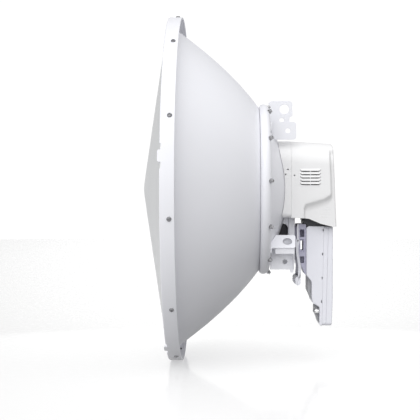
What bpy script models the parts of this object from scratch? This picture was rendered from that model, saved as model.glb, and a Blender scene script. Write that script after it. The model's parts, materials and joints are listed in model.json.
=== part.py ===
"""Outdoor wireless bridge: a deep dish antenna with a radome, a rear bracket ring with pole-mount ears,
and a radio that hangs in a quick-release mount under a rain cover.

The dish axis is X and the antenna looks along -X. +Z is up, and -Y is its left side.
The origin is on the dish axis, in the plane of the ears' bolt holes.
"""

import math

import bmesh
import bpy
from mathutils import Matrix, Vector

MM = 0.001
GAP = 0.3 * MM  # clearance between pieces that touch
ROUND_SIDES = 60  # facets round the dish, a multiple of its 12 fasteners

# Reflector: the paraboloid r^2 = DISH_PARAMETER * (DISH_VERTEX - x) is its back surface.
DISH_PARAMETER = 430 * MM
DISH_VERTEX = 5.2 * MM
DISH_WALL = 3 * MM
DISH_HOLE_RADIUS = 24 * MM
RIM_RADIUS = 321.7 * MM
SKIRT_END = -197 * MM

# Rim band, which clamps the radome to the reflector's rim.
BAND_RADIUS = 325 * MM
BAND_WALL = 3 * MM
BAND_FRONT = -218.5 * MM
BAND_REAR = -194 * MM
BAND_LIP_RADIUS = 318.5 * MM
BAND_CORNER = 3.8 * MM
SHEET = 2 * MM
FASTENERS = 12
SCREW_X = -202.6 * MM
SCREW_ANGLE = 21
TAB_ANGLES = (9, -61, 171, -119)
TAB_WIDTH = 20 * MM
TAB_REACH = 3.2 * MM

# Radome: a shallow cone with a rounded tip.
RADOME_TIP = -271.2 * MM
RADOME_SLOPE = 0.1555
RADOME_WALL = 3 * MM
RADOME_RADIUS = 317 * MM
RADOME_SHOULDER = -223 * MM

# Rear bracket ring: a rounded hoop with a flat rear face.
RING_REAR = -31.3 * MM
RING_RADIUS = 162.3 * MM
RING_HOLE = 130.5 * MM
RING_WALL = 2.3 * MM
RING_REAR_CURVE = 11.5 * MM
RING_FRONT_CURVE = 8 * MM
BOLT_ANGLE = 4.7
BOLT_TILT = 36.5  # each bolt's axis from X, square to the dish's back
BOLT_FACET = 11.5  # half the angle of the flat under each bolt head

# Ears
EAR_Y = 61 * MM
EAR_SHEET = 2.3 * MM
BIG_HOLE = 9.4 * MM
WING_HOLE = 8.8 * MM
SMALL_HOLE = 4.5 * MM
WING_TILT = 46
WING_CENTRE = (0.5 * MM, 72.3 * MM, -98 * MM)
LIP_Y = 82.5 * MM  # outer face of the lower ears' lip
DISH_CLEARANCE = 0.6 * MM

# Feed housing and rain cover
HOUSING_HALF = 63 * MM
HOUSING_TOP = 90.8 * MM
HOUSING_BOTTOM = -53.6 * MM
HOUSING_CORNER = 42 * MM
HOUSING_END = 8.2 * MM
HOUSING_FRONT = -30 * MM
COVER_FRONT = 8.8 * MM
COVER_REAR = 93.2 * MM
COVER_REAR_TOP = 85.5 * MM
COVER_WAIST = 55 * MM  # half width of the stepped-in rear and lower part
SHELL = 3 * MM
LOUVRES = 5
LOUVRE_PITCH = 6.15 * MM
LOUVRE_TOP = 32.4 * MM
LOUVRE_HEIGHT = 2.4 * MM
LOUVRE_X = (24.3 * MM, 43 * MM, 44.6 * MM, 63.3 * MM)

# Radio and its mount
RADIO_HALF = 41 * MM
RADIO_FRONT = 37.8 * MM
RADIO_TOP = -69.6 * MM
RADIO_BOTTOM = -257 * MM
RADIO_SEAM = 69.7 * MM
FRAME_REAR = 79.4 * MM
RADIO_REAR = 87.9 * MM
MOUNT_HALF = 37.5 * MM
MOUNT_LEFT = 20.7 * MM
MOUNT_TOP = -66 * MM
# Each pocket: low x, low z, high x, high z in mm.
POCKETS = ((24.5, -91, 34, -78), (25.5, -118, 33.5, -95.5), (25, -142, 34, -128))
POCKET_DEPTH = 6 * MM
PIVOT = (22.2 * MM, -97 * MM)
PIN_RADIUS = 1.5 * MM
LEVER_INNER = 38.2 * MM
LEVER_OUTER = 41.5 * MM
PORT_X = (66 * MM, 77 * MM)
PORT_HALF = 6.5 * MM
RAIL_TOP = -90 * MM
SOCKET_X = 48 * MM  # the RF sockets and plugs, which meet on this line
SOCKET_Y = 18 * MM


# ---------------------------------------------------------------- tools


def clear_scene():
    for obj in list(bpy.data.objects):
        bpy.data.objects.remove(obj, do_unlink=True)


def material(name, colour, roughness, metallic=0.0):
    made = bpy.data.materials.new(name)
    made.use_nodes = True
    shader = made.node_tree.nodes["Principled BSDF"]
    shader.inputs["Base Color"].default_value = (*colour, 1)
    shader.inputs["Roughness"].default_value = roughness
    shader.inputs["Metallic"].default_value = metallic
    return made


def add_object(name, mesh, finish):
    obj = bpy.data.objects.new(name, mesh)
    bpy.context.scene.collection.objects.link(obj)
    if finish and not mesh.materials:
        mesh.materials.append(finish)
    return obj


def mesh_from(name, bm, smooth_angle=35):
    bmesh.ops.recalc_face_normals(bm, faces=bm.faces)
    mesh = bpy.data.meshes.new(name)
    bm.to_mesh(mesh)
    bm.free()
    mesh.shade_smooth()
    mesh.set_sharp_from_angle(angle=math.radians(smooth_angle))
    return mesh


def solid(name, bm, finish):
    return add_object(name, mesh_from(name, bm), finish)


def helper(obj):
    """Hides an object that only cuts or joins another."""
    obj.hide_render = True
    obj.display_type = "WIRE"
    return obj


def combine(obj, other, operation):
    modifier = obj.modifiers.new(f"{operation.lower()} {other.name}", "BOOLEAN")
    modifier.operation = operation
    modifier.object = helper(other)
    return obj


def cut(obj, bm):
    return combine(obj, solid(f"{obj.name}_cutter", bm, None), "DIFFERENCE")


def join(obj, bm):
    return combine(obj, solid(f"{obj.name}_addition", bm, None), "UNION")


def keep_inside(obj, bm):
    return combine(obj, solid(f"{obj.name}_envelope", bm, None), "INTERSECT")


def around(angle, x, radius):
    """The point at this angle, in degrees from the left side (-Y) up towards +Z."""
    turn = math.radians(angle)
    return Vector((x, -radius * math.cos(turn), radius * math.sin(turn)))


def turned(profile, sides=ROUND_SIDES, phase=0.0):
    """A closed profile of (x, radius) points turned about X."""
    bm = bmesh.new()
    rings = []
    for x, radius in profile:
        count = sides if radius > 1e-7 else 1
        rings.append([bm.verts.new(around(phase + 360 * i / sides, x, radius)) for i in range(count)])
    for first, second in zip(rings, rings[1:] + rings[:1]):
        if len(first) == len(second) == 1:
            continue
        for i in range(sides):
            j = (i + 1) % sides
            corners = [first[i % len(first)], first[j % len(first)]]
            corners += [second[j % len(second)], second[i % len(second)]]
            bm.faces.new(dict.fromkeys(corners))  # a point on the axis counts once
    return bm


def extruded(outline, low, high, along="Y"):
    """A prism along one axis; its outline's points are the other two coordinates in X, Y, Z order."""
    place = "XYZ".index(along)
    bm = bmesh.new()
    ends = []
    for level in (low, high):
        ends.append([bm.verts.new((*point[:place], level, *point[place:])) for point in outline])
        bm.faces.new(ends[-1])
    count = len(outline)
    for i in range(count):
        j = (i + 1) % count
        bm.faces.new((ends[0][i], ends[0][j], ends[1][j], ends[1][i]))
    return bm


def block(low, high):
    outline = [(low[0], low[2]), (high[0], low[2]), (high[0], high[2]), (low[0], high[2])]
    return extruded(outline, low[1], high[1])


def merged(*parts):
    """One bmesh that holds several shapes which don't touch."""
    whole = bmesh.new()
    for part in parts:
        mesh = bpy.data.meshes.new("part")
        part.to_mesh(mesh)
        part.free()
        whole.from_mesh(mesh)
        bpy.data.meshes.remove(mesh)
    return whole


def bar(start, end, radius, sides=16):
    """A round bar between two points."""
    start, end = Vector(start), Vector(end)
    bm = turned([(0, 0), (0, radius), ((end - start).length, radius), ((end - start).length, 0)], sides)
    bmesh.ops.rotate(bm, verts=bm.verts, matrix=(end - start).to_track_quat("X", "Z").to_matrix())
    bmesh.ops.translate(bm, verts=bm.verts, vec=start)
    return bm


def rounded(corners, steps=3):
    """The outline through (a, b, radius) corners, with an arc of that radius at each."""
    outline = []
    count = len(corners)
    for i, (a, b, radius) in enumerate(corners):
        here = Vector((a, b))
        if radius == 0:
            outline.append((a, b))
            continue
        back = (Vector(corners[i - 1][:2]) - here).normalized()
        ahead = (Vector(corners[(i + 1) % count][:2]) - here).normalized()
        half = back.angle(ahead) / 2
        centre = here + (back + ahead).normalized() * radius / math.sin(half)
        first = here + back * radius / math.tan(half) - centre
        last = here + ahead * radius / math.tan(half) - centre
        for step in range(steps + 1):
            spoke = first.lerp(last, step / steps).normalized() * radius
            outline.append(tuple(centre + spoke))
    return outline


def scaled(corners):
    """An outline from (a, b, radius) corners given in millimetres."""
    return rounded([(a * MM, b * MM, radius * MM) for a, b, radius in corners])


def empty(name, place):
    axis = bpy.data.objects.new(name, None)
    axis.location = place
    bpy.context.scene.collection.objects.link(axis)
    return axis


def world_place(obj):
    return obj.location + (world_place(obj.parent) if obj.parent else Vector())


def attach(obj, parent):
    obj.location -= world_place(parent)
    obj.parent = parent
    return obj


# ---------------------------------------------------------------- antenna


def dish_x(radius, offset=0.0):
    return DISH_VERTEX - offset - radius**2 / DISH_PARAMETER


def dish_radius(x, offset=0.0):
    return math.sqrt(DISH_PARAMETER * (DISH_VERTEX - offset - x))


def dish_body(offset):
    """A cutter: everything in front of the dish's back surface, moved back by offset."""
    reach, front = 150 * MM, -120 * MM
    profile = [(dish_x(radius, -offset), radius) for radius in even_steps(0, reach, 6)]
    profile += [(front, reach), (front, 0)]
    return turned(profile)


def even_steps(start, end, steps):
    return [start + (end - start) * i / steps for i in range(steps + 1)]


def flange_planes():
    """The x of the lip's, the radome flange's and the reflector flange's rear faces."""
    lip = BAND_FRONT + SHEET
    radome = lip + GAP + SHEET
    return lip, radome, radome + GAP + SHEET


def make_reflector(finish):
    flange_rear = flange_planes()[2]
    flange_front = flange_rear - SHEET
    back = even_steps(DISH_HOLE_RADIUS, dish_radius(flange_rear), 7)
    front = even_steps(dish_radius(flange_front, DISH_WALL), DISH_HOLE_RADIUS, 7)
    profile = [(dish_x(radius), radius) for radius in back]
    profile += [(flange_rear, RIM_RADIUS - SHEET), (SKIRT_END, RIM_RADIUS - SHEET)]
    profile += [(SKIRT_END, RIM_RADIUS), (flange_front, RIM_RADIUS)]
    profile += [(dish_x(radius, DISH_WALL), radius) for radius in front]
    reflector = solid("reflector", turned(profile), finish)
    cut(reflector, screw_holes())


def make_radome(finish):
    lip, flange_rear, _ = flange_planes()
    straight_tip = RADOME_SHOULDER - RADOME_SLOPE * RADOME_RADIUS
    blend = 30 * MM
    profile = [(RADOME_TIP, 0), (RADOME_TIP + 0.6 * MM, blend / 2)]
    profile += [(straight_tip + RADOME_SLOPE * blend, blend), (RADOME_SHOULDER, RADOME_RADIUS)]
    profile.append((RADOME_SHOULDER + 2 * MM, RADOME_RADIUS + MM))
    profile += [(lip + GAP, RADOME_RADIUS + MM), (lip + GAP, RIM_RADIUS), (flange_rear, RIM_RADIUS)]
    profile += [(flange_rear, RADOME_RADIUS - 2 * MM)]
    profile += [(RADOME_SHOULDER + RADOME_WALL, RADOME_RADIUS - 2 * MM)]
    profile += [(RADOME_TIP + RADOME_WALL + 4 * MM, blend), (RADOME_TIP + RADOME_WALL, 0)]
    solid("radome", turned(profile), finish)


def make_rim_band(finish):
    inner = BAND_RADIUS - BAND_WALL
    lip = flange_planes()[0]
    centre = (BAND_FRONT + BAND_CORNER, BAND_RADIUS - BAND_CORNER)
    corner = []
    for angle in (0, 45, 90):
        turn = math.radians(angle)
        corner.append((centre[0] - BAND_CORNER * math.cos(turn), centre[1] + BAND_CORNER * math.sin(turn)))
    profile = [(BAND_FRONT, BAND_LIP_RADIUS), *corner, (BAND_REAR, BAND_RADIUS), (BAND_REAR, inner)]
    profile += [(lip, inner), (lip, BAND_LIP_RADIUS)]
    band = solid("rim_band", turned(profile), finish)
    cut(band, screw_holes())
    tabs = []
    for angle in TAB_ANGLES:
        low = (BAND_FRONT - TAB_REACH, -TAB_WIDTH / 2, BAND_RADIUS - 5 * MM)
        high = (BAND_FRONT + 1.5 * MM, TAB_WIDTH / 2, BAND_RADIUS - 2.5 * MM)
        tab = block(low, high)
        bmesh.ops.rotate(tab, verts=tab.verts, matrix=Matrix.Rotation(math.radians(90 - angle), 3, "X"))
        tabs.append(tab)
    join(band, merged(*tabs))


def screw_holes():
    holes = []
    for i in range(FASTENERS):
        angle = SCREW_ANGLE + 360 * i / FASTENERS
        ends = [around(angle, SCREW_X, radius) for radius in (BAND_RADIUS + 3 * MM, RIM_RADIUS - 6 * MM)]
        holes.append(bar(*ends, 2.5 * MM, 8))
    return merged(*holes)


def place_round(name, mesh, finish, angle, x, radius, tilt):
    """A fastener whose axis leans by tilt degrees from X, away from the dish axis."""
    piece = add_object(name, mesh, finish)
    lean = math.radians(tilt)
    direction = around(angle, math.cos(lean), math.sin(lean))
    piece.location = around(angle, x, radius)
    piece.rotation_euler = direction.to_track_quat("X", "Z").to_euler()


def make_rim_screws(finish):
    """Pan-head screws, square to the band."""
    head, rise = 4.1 * MM, 2 * MM
    shank, depth = 2 * MM, 7.5 * MM
    profile = [(-depth, 0), (-depth, shank), (0, shank), (0, head)]
    profile += [(rise * 0.55, head * 0.92), (rise, head * 0.5), (rise, 0)]
    mesh = mesh_from("rim_screw", turned(profile, 10))
    seat = BAND_RADIUS * math.cos(math.pi / ROUND_SIDES) + GAP
    for i in range(FASTENERS):
        angle = SCREW_ANGLE + 360 * i / FASTENERS
        place_round(f"rim_screw_{i + 1:02d}", mesh, finish, angle, SCREW_X, seat, 90)


def ring_curve(centre, curve, angles):
    points = []
    for angle in angles:
        turn = math.radians(angle)
        points.append((centre[0] + curve * math.cos(turn), centre[1] + curve * math.sin(turn)))
    return points


def ring_centres():
    x = RING_REAR - RING_REAR_CURVE
    return (x, RING_RADIUS - RING_REAR_CURVE), (x, RING_RADIUS - RING_FRONT_CURVE)


def make_rear_ring(finish):
    rear, front = ring_centres()
    rear_angles = (0, BOLT_TILT - BOLT_FACET, BOLT_TILT + BOLT_FACET, 70, 90)
    front_angles = (118, 148)
    profile = [(RING_REAR, RING_HOLE)]
    profile += ring_curve(rear, RING_REAR_CURVE, rear_angles)
    profile += ring_curve(front, RING_FRONT_CURVE, front_angles)
    profile += ring_curve(front, RING_FRONT_CURVE - RING_WALL, reversed(front_angles))
    profile += ring_curve(rear, RING_REAR_CURVE - RING_WALL, reversed(rear_angles))
    profile += [(RING_REAR - RING_WALL, RING_HOLE)]
    facet = 360 / ROUND_SIDES
    ring = solid("rear_ring", turned(profile, phase=BOLT_ANGLE - facet / 2), finish)
    lean = math.radians(BOLT_TILT)
    holes = []
    for i in range(FASTENERS):
        angle = BOLT_ANGLE + 360 * i / FASTENERS
        ends = []
        for reach in (4 * MM, 17 * MM):
            ends.append(around(angle, rear[0] + reach * math.cos(lean), rear[1] + reach * math.sin(lean)))
        holes.append(bar(*ends, 3 * MM, 8))
    cut(ring, merged(*holes))


def make_ring_bolts(finish):
    """Flanged hex bolts on the ring's shoulder, each reaching down to the dish."""
    flange, corner, shank = 5.4 * MM, 4.6 * MM, 2.4 * MM
    depth, flange_height, height = 14.5 * MM, 1.2 * MM, 4.4 * MM
    profile = [(-depth, 0), (-depth, shank), (0, shank), (0, flange), (flange_height, flange)]
    profile += [(flange_height, corner), (height, corner), (height, 0)]
    mesh = mesh_from("ring_bolt", turned(profile, 6))
    rear = ring_centres()[0]
    seat = RING_REAR_CURVE * math.cos(math.radians(BOLT_FACET)) + GAP
    lean = math.radians(BOLT_TILT)
    for i in range(FASTENERS):
        angle = BOLT_ANGLE + 360 * i / FASTENERS
        x = rear[0] + seat * math.cos(lean)
        radius = rear[1] + seat * math.sin(lean)
        place_round(f"ring_bolt_{i + 1:02d}", mesh, finish, angle, x, radius, BOLT_TILT)


# ---------------------------------------------------------------- ears


def foot_plate(outline):
    """The ear's foot, flat on the ring's rear face; outline is (y, z) points."""
    return extruded(outline, RING_REAR + GAP, RING_REAR + GAP + EAR_SHEET, "X")


def hole(x, z, radius):
    """A cutter across the ears on both sides."""
    return bar((x, -90 * MM, z), (x, 90 * MM, z), radius)


def make_upper_left_ear(finish):
    left = (RING_REAR + GAP) / MM
    plate = [(left, 108, 0), (-21.8, 108, 0), (-21.8, 91.6, 4), (17.7, 91.6, 5.5)]
    plate += [(17.7, 124.6, 5.5), (left, 124.6, 0)]
    ear = solid("ear_upper_left", extruded(scaled(plate), -EAR_Y, -EAR_Y + EAR_SHEET), finish)
    foot = [(-59, 108, 0), (-90, 108, 3), (-88, 120, 3), (-78, 124, 3), (-59, 124.6, 0)]
    join(ear, foot_plate(scaled(foot)))
    cut(ear, dish_body(DISH_CLEARANCE))
    cut(ear, hole(1.9 * MM, 108 * MM, SMALL_HOLE))


def make_upper_right_ear(finish):
    left = (RING_REAR + GAP) / MM
    plate = [(left, 112, 0), (-9, 112, 3), (-3, 122, 3), (11.7, 122, 3), (11.7, 142.2, 0), (17.6, 146, 3)]
    plate += [(17.6, 175, 7), (-24, 175, 5), (left, 171, 0)]
    ear = solid("ear_upper_right", extruded(scaled(plate), EAR_Y - EAR_SHEET, EAR_Y), finish)
    join(ear, foot_plate(scaled([(59, 112, 0), (59, 136, 0), (66, 134, 3), (90, 118, 3), (90, 112, 3)])))
    cut(ear, dish_body(DISH_CLEARANCE))
    cut(ear, merged(hole(1.4 * MM, 158.7 * MM, BIG_HOLE), hole(-3.8 * MM, 136.9 * MM, SMALL_HOLE)))


def make_lower_ear(name, side, finish):
    """A bent bracket: a plate, a wing leaning out from its top, a lip under it and a rear gusset.

    side is -1 on the left and 1 on the right.
    """
    left = (RING_REAR + GAP) / MM
    plate_y = sorted((side * EAR_Y, side * (EAR_Y - EAR_SHEET)))
    plate = [(left, -150, 0), (5.8, -150, 0), (7, -156, 0), (12, -156, 0), (13.4, -150, 0)]
    plate += [(13.4, -88, 0), (left, -88, 0)]
    ear = solid(name, extruded(scaled(plate), *plate_y), finish)
    foot = scaled([(59, -104, 0), (90, -104, 3), (92, -117, 3), (66, -135, 3), (59, -137, 0)])
    join(ear, foot_plate([(side * y, z) for y, z in foot]))
    join(ear, tilted_wing(side))
    lip_y = sorted((side * LIP_Y, side * (LIP_Y - EAR_SHEET)))
    lip = scaled([(-22, -119.6, 0), (13.4, -119.6, 0), (13.4, -107.5, 0), (-22, -107.5, 0)])
    join(ear, extruded(lip, *lip_y))
    gusset = [(59, -149, 0), (62.5, -149, 0), (82.5, -119.6, 0)]
    gusset += [(82.5, -108, 0), (60.5, -87, 0), (59, -87, 0)]
    gusset = scaled(gusset)
    join(ear, extruded([(side * y, z) for y, z in gusset], 11.1 * MM, 13.4 * MM, "X"))
    centre = Vector((WING_CENTRE[0], side * WING_CENTRE[1], WING_CENTRE[2]))
    tilt = math.radians(WING_TILT)
    through = Vector((0, side * math.cos(tilt), math.sin(tilt))) * 9 * MM
    cut(ear, dish_body(DISH_CLEARANCE))
    cut(ear, bar(centre - through, centre + through, WING_HOLE))
    cut(ear, hole(-3.3 * MM, -135.5 * MM, SMALL_HOLE))


def tilted_wing(side):
    """The wing's plate, square to a line that leans WING_TILT degrees up from the ear's outward side."""
    left = (RING_REAR + GAP) / MM
    half = 16.4
    outline = scaled([(left, -half, 0), (14.5, -half, 4), (16, half, 4), (-24, half, 4), (left, 0, 0)])
    wing = extruded(outline, -EAR_SHEET / 2, EAR_SHEET / 2)
    bmesh.ops.rotate(wing, verts=wing.verts, matrix=Matrix.Rotation(side * math.radians(WING_TILT), 3, "X"))
    bmesh.ops.translate(wing, verts=wing.verts, vec=(0, side * WING_CENTRE[1], WING_CENTRE[2]))
    return wing


# ---------------------------------------------------------------- feed and housing


def make_feed(metal, plastic):
    bore = 15 * MM
    flange = [(-3 * MM, bore + GAP), (-3 * MM, DISH_HOLE_RADIUS - GAP), (5.6 * MM, DISH_HOLE_RADIUS - GAP)]
    flange += [(5.6 * MM, 42 * MM), (13 * MM, 42 * MM), (13 * MM, bore + GAP)]
    solid("hub_flange", turned(flange, 24), metal)
    tube = [(-92 * MM, bore - SHELL), (-92 * MM, bore), (30.4 * MM, bore), (30.4 * MM, bore - SHELL)]
    solid("feed_tube", turned(tube, 24), metal)
    inner = bore - SHELL - GAP
    cone = [(-84 * MM, 0), (-84 * MM, inner), (-92.3 * MM, inner), (-92.3 * MM, bore)]
    cone += [(-103 * MM, 28 * MM), (-105 * MM, 28 * MM), (-105 * MM, 0)]
    solid("feed_cone", turned(cone, 24), plastic)
    splash = [(-105.3 * MM, 0), (-105.3 * MM, 30 * MM), (-106.8 * MM, 30 * MM), (-109 * MM, 0)]
    solid("subreflector", turned(splash, 24), metal)


def arch(half, top, bottom, corner):
    """The housing's section in (y, z): straight sides under a broad rounded top."""
    points = [(-half, bottom, 0), (half, bottom, 0), (half, top, corner), (-half, top, corner)]
    return rounded(points, steps=6)


def make_feed_housing(finish):
    outer = arch(HOUSING_HALF, HOUSING_TOP, HOUSING_BOTTOM, HOUSING_CORNER)
    housing = solid("feed_housing", extruded(outer, HOUSING_FRONT, HOUSING_END, "X"), finish)
    inner = arch(HOUSING_HALF - SHELL, HOUSING_TOP - SHELL, HOUSING_BOTTOM + SHELL, HOUSING_CORNER - SHELL)
    cut(housing, extruded(inner, HOUSING_FRONT - SHELL, HOUSING_END + SHELL, "X"))
    cut(housing, dish_body(2 * MM))


def cover_section(half, inset, ends):
    """The cover's long body, which falls a little towards the rear."""
    front_top, rear_top = HOUSING_TOP - inset, COVER_REAR_TOP - inset
    bm = bmesh.new()
    rings = []
    for x, top in zip(ends, (front_top, rear_top)):
        outline = arch(half, top, -100 * MM, HOUSING_CORNER - inset)
        rings.append([bm.verts.new((x, y, z)) for y, z in outline])
    for ring in rings:
        bm.faces.new(ring)
    count = len(rings[0])
    for i in range(count):
        j = (i + 1) % count
        bm.faces.new((rings[0][i], rings[0][j], rings[1][j], rings[1][i]))
    return bm


def make_rear_cover(finish, slide):
    """The waist joined to the raised flank, then hollowed, with the louvres cut through both sides."""
    lower = [(8.8, -53.6, 0), (31.4, -54.7, 0), (41.4, -55.9, 0), (61.7, -64.9, 0)]
    lower += [(84.7, -70.9, 0), (93.2, -70.1, 0)]
    whole = scaled([*lower, (87.2, 86.5, 9), (8.8, 95, 0)])
    ridge = [(31.9, -54.7, 0), (31.9, -36.3, 4), (34.9, -29.2, 3), (70.4, -18.6, 5), (82.3, -11.3, 5)]
    raised = scaled([(8.8, -53.6, 0), *ridge, (79.3, 66.8, 8), (76, 95, 0), (8.8, 95, 0)])
    inside = scaled([(0, -120, 0), (89.8, -120, 0), (84.2, 83, 7), (0, 95, 0)])
    ends = (COVER_FRONT - 10 * MM, COVER_REAR + 10 * MM)
    across = (-80 * MM, 80 * MM)
    cover = solid("rear_cover", cover_section(COVER_WAIST, 0, ends), finish)
    keep_inside(cover, extruded(whole, *across))
    flank = solid("rear_cover_flank", cover_section(HOUSING_HALF, 0, ends), None)
    keep_inside(flank, extruded(raised, *across))
    combine(cover, flank, "UNION")
    hollow = solid("rear_cover_hollow", cover_section(COVER_WAIST - SHELL, SHELL, ends), None)
    keep_inside(hollow, extruded(inside, *across))
    combine(cover, hollow, "DIFFERENCE")
    slots = []
    for row in range(LOUVRES):
        top = LOUVRE_TOP - row * LOUVRE_PITCH + LOUVRE_HEIGHT / 2
        for low, high in (LOUVRE_X[:2], LOUVRE_X[2:]):
            slots.append(block((low, across[0], top - LOUVRE_HEIGHT), (high, across[1], top)))
    cut(cover, merged(*slots))
    attach(cover, slide)


def make_adapter(finish, brass):
    """The waveguide adapter behind the feed tube, with a skirt round the two sockets underneath."""
    body = block((31 * MM, -26 * MM, -48 * MM), (60 * MM, 26 * MM, 36 * MM))
    adapter = solid("waveguide_adapter", body, finish)
    skirt = [(33, -65.4, 0), (38.2, -65.4, 0), (38.2, -69.2, 0), (74, -69.2, 0), (74, -60, 0), (60, -44, 0)]
    skirt += [(33, -44, 0)]
    join(adapter, extruded(scaled(skirt), -38 * MM, 38 * MM))
    cut(adapter, block((39.6 * MM, -35 * MM, -75 * MM), (71 * MM, 35 * MM, -61 * MM)))
    for side, name in ((-1, "left"), (1, "right")):
        top, bottom = [(SOCKET_X, side * SOCKET_Y, z) for z in (-61.3 * MM, -66 * MM)]
        solid(f"rf_socket_{name}", bar(top, bottom, 4 * MM, 12), brass)


# ---------------------------------------------------------------- radio mount


def make_mount_arm(finish, dark):
    """The arm that carries the radio mount, and the dark gasket between it and the dish."""
    arm = solid("mount_arm", block((4 * MM, -34 * MM, -140 * MM), (16.7 * MM, 34 * MM, -54 * MM)), finish)
    join(arm, arm_neck())
    cut(arm, dish_body(DISH_CLEARANCE))
    gasket = solid("arm_gasket", block((-25 * MM, -22 * MM, -95 * MM), (3.7 * MM, 22 * MM, -62 * MM)), dark)
    cut(gasket, dish_body(DISH_CLEARANCE))


def arm_neck():
    """The arm's shoulder, which reaches forward over the gasket to the dish."""
    return block((-24 * MM, -30 * MM, -61.7 * MM), (10 * MM, 30 * MM, -54 * MM))


def dovetail(clearance):
    """The rail that slides in the mount: (x, y) points, narrow at the radio and wide at its back."""
    neck, wide, depth = 9 * MM + clearance, 12 * MM + clearance, 4 * MM + clearance
    root = RADIO_FRONT + MM
    back = RADIO_FRONT - depth
    return [(root, -neck), (back, -wide), (back, wide), (root, neck)]


def pivot_bar(reach, radius):
    """A bar along the lever's pivot, this far to each side."""
    x, z = PIVOT
    return bar((x, -reach, z), (x, reach, z), radius, 10)


def make_radio_mount(finish):
    outline = scaled([(20.7, -66, 2), (37.5, -66, 0), (37.5, -164, 0), (20.7, -126, 6)])
    mount = solid("radio_mount", extruded(outline, -MOUNT_HALF, MOUNT_HALF), finish)
    join(mount, block((17 * MM, -25 * MM, -120 * MM), (23 * MM, 25 * MM, -70 * MM)))
    pockets = []
    for side in (-1, 1):
        inner, outer = sorted((side * 45 * MM, side * (MOUNT_HALF - POCKET_DEPTH)))
        for low_x, low_z, high_x, high_z in POCKETS:
            pockets.append(block((low_x * MM, inner, low_z * MM), (high_x * MM, outer, high_z * MM)))
    cut(mount, merged(*pockets))
    cut(mount, block((27 * MM, -60 * MM, -115.5 * MM), (32.6 * MM, 5 * MM, -97 * MM)))
    cut(mount, block((25 * MM, 2 * MM, -119 * MM), (36.4 * MM, 60 * MM, -93 * MM)))
    cut(mount, extruded(dovetail(0.4 * MM), -170 * MM, RAIL_TOP + MM, "Z"))
    cut(mount, pivot_bar(60 * MM, PIN_RADIUS + GAP))


def make_release_lever(finish, steel, pivot):
    """Two side arms joined by a finger bar below, on a pin through the mount."""
    x, z = PIVOT[0] / MM, PIVOT[1] / MM
    arm = [(x - 4, z + 4, 3.5), (x + 4, z + 4, 3.5), (x + 2.5, -125, 4), (26.5, -146, 4), (27.2, -166, 0)]
    arm += [(20.4, -166, 0), (21.5, -147, 3), (x - 4, -126, 4)]
    arms = []
    for side in (-1, 1):
        span = sorted((side * LEVER_INNER, side * LEVER_OUTER))
        arms.append(extruded(scaled(arm), *span))
    finger = scaled([(13.9, -168, 3), (20, -165, 2), (27.2, -165, 2), (27.2, -181.5, 5), (14.5, -181.5, 5)])
    lever = solid("release_lever", extruded(finger, -LEVER_OUTER, LEVER_OUTER), finish)
    join(lever, merged(*arms))
    cut(lever, pivot_bar(60 * MM, PIN_RADIUS + GAP))
    attach(lever, pivot)
    solid("release_pin", pivot_bar(LEVER_OUTER + 1.5 * MM, PIN_RADIUS), steel)


# ---------------------------------------------------------------- radio


def radio_slab(low_x, high_x, half):
    """A plate across the radio with rounded corners."""
    corner = 6 * MM
    corners = [(-half, RADIO_BOTTOM, corner), (half, RADIO_BOTTOM, corner)]
    corners += [(half, RADIO_TOP, corner), (-half, RADIO_TOP, corner)]
    return extruded(rounded(corners), low_x, high_x, "X")


def radio_core(low_x, high_x, half, wall):
    """A cutter for the space inside a slab's walls."""
    return block((low_x, -half + wall, RADIO_BOTTOM + wall), (high_x, half - wall, RADIO_TOP - wall))


def port_cutter():
    return block((PORT_X[0], -PORT_HALF, RADIO_BOTTOM - MM), (PORT_X[1], PORT_HALF, RADIO_BOTTOM + 5 * MM))


def make_front_shell(finish, slide):
    side = [(37.8, -69.6, 5), (69.7, -69.6, 0), (69.7, -257, 0), (62.6, -257, 3), (62.6, -222.5, 0)]
    side += [(55.4, -217.9, 4), (49.6, -214.1, 5), (47.9, -203.2, 0), (47.9, -174.6, 5), (37.8, -161.8, 6)]
    shell = solid("radio_front_shell", extruded(scaled(side), -RADIO_HALF, RADIO_HALF), finish)
    boss = scaled([(41.4, -164, 0), (41.4, -193, 4), (50, -212, 0), (55, -212, 0), (55, -164, 0)])
    join(shell, extruded(boss, -30 * MM, 30 * MM))
    inner = [(40.8, -72.6, 3), (75, -72.6, 0), (75, -254, 0)]
    inner += [(65.6, -254, 0), (65.6, -220, 0), (52.5, -211, 0)]
    inner += [(50.9, -203, 0), (50.9, -173, 0), (40.8, -160, 0)]
    cut(shell, extruded(scaled(inner), -RADIO_HALF + SHELL, RADIO_HALF - SHELL))
    join(shell, extruded(dovetail(0), -158 * MM, RAIL_TOP, "Z"))
    cut(shell, port_cutter())
    cut(shell, block((60 * MM, -10 * MM, -241 * MM), (67 * MM, 10 * MM, -229 * MM)))
    attach(shell, slide)


def make_radio_shells(finish, rubber, slide):
    """The seal and the frame behind the front shell, and the rear shell, which is closed at its back."""
    half, wall = RADIO_HALF - 0.5 * MM, 3.5 * MM
    rings = [("radio_seal", RADIO_SEAM + GAP, RADIO_SEAM + 1.2 * MM, rubber)]
    rings.append(("radio_frame", RADIO_SEAM + 1.5 * MM, FRAME_REAR, finish))
    for name, low_x, high_x, mat in rings:
        piece = solid(name, radio_slab(low_x, high_x, half), mat)
        cut(piece, radio_core(low_x - MM, high_x + MM, half, wall))
        cut(piece, port_cutter())
        attach(piece, slide)
    rear = solid("radio_rear_shell", radio_slab(FRAME_REAR + GAP, RADIO_REAR, RADIO_HALF), finish)
    cut(rear, radio_core(FRAME_REAR - MM, RADIO_REAR - 2.5 * MM, RADIO_HALF, SHELL))
    attach(rear, slide)


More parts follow.
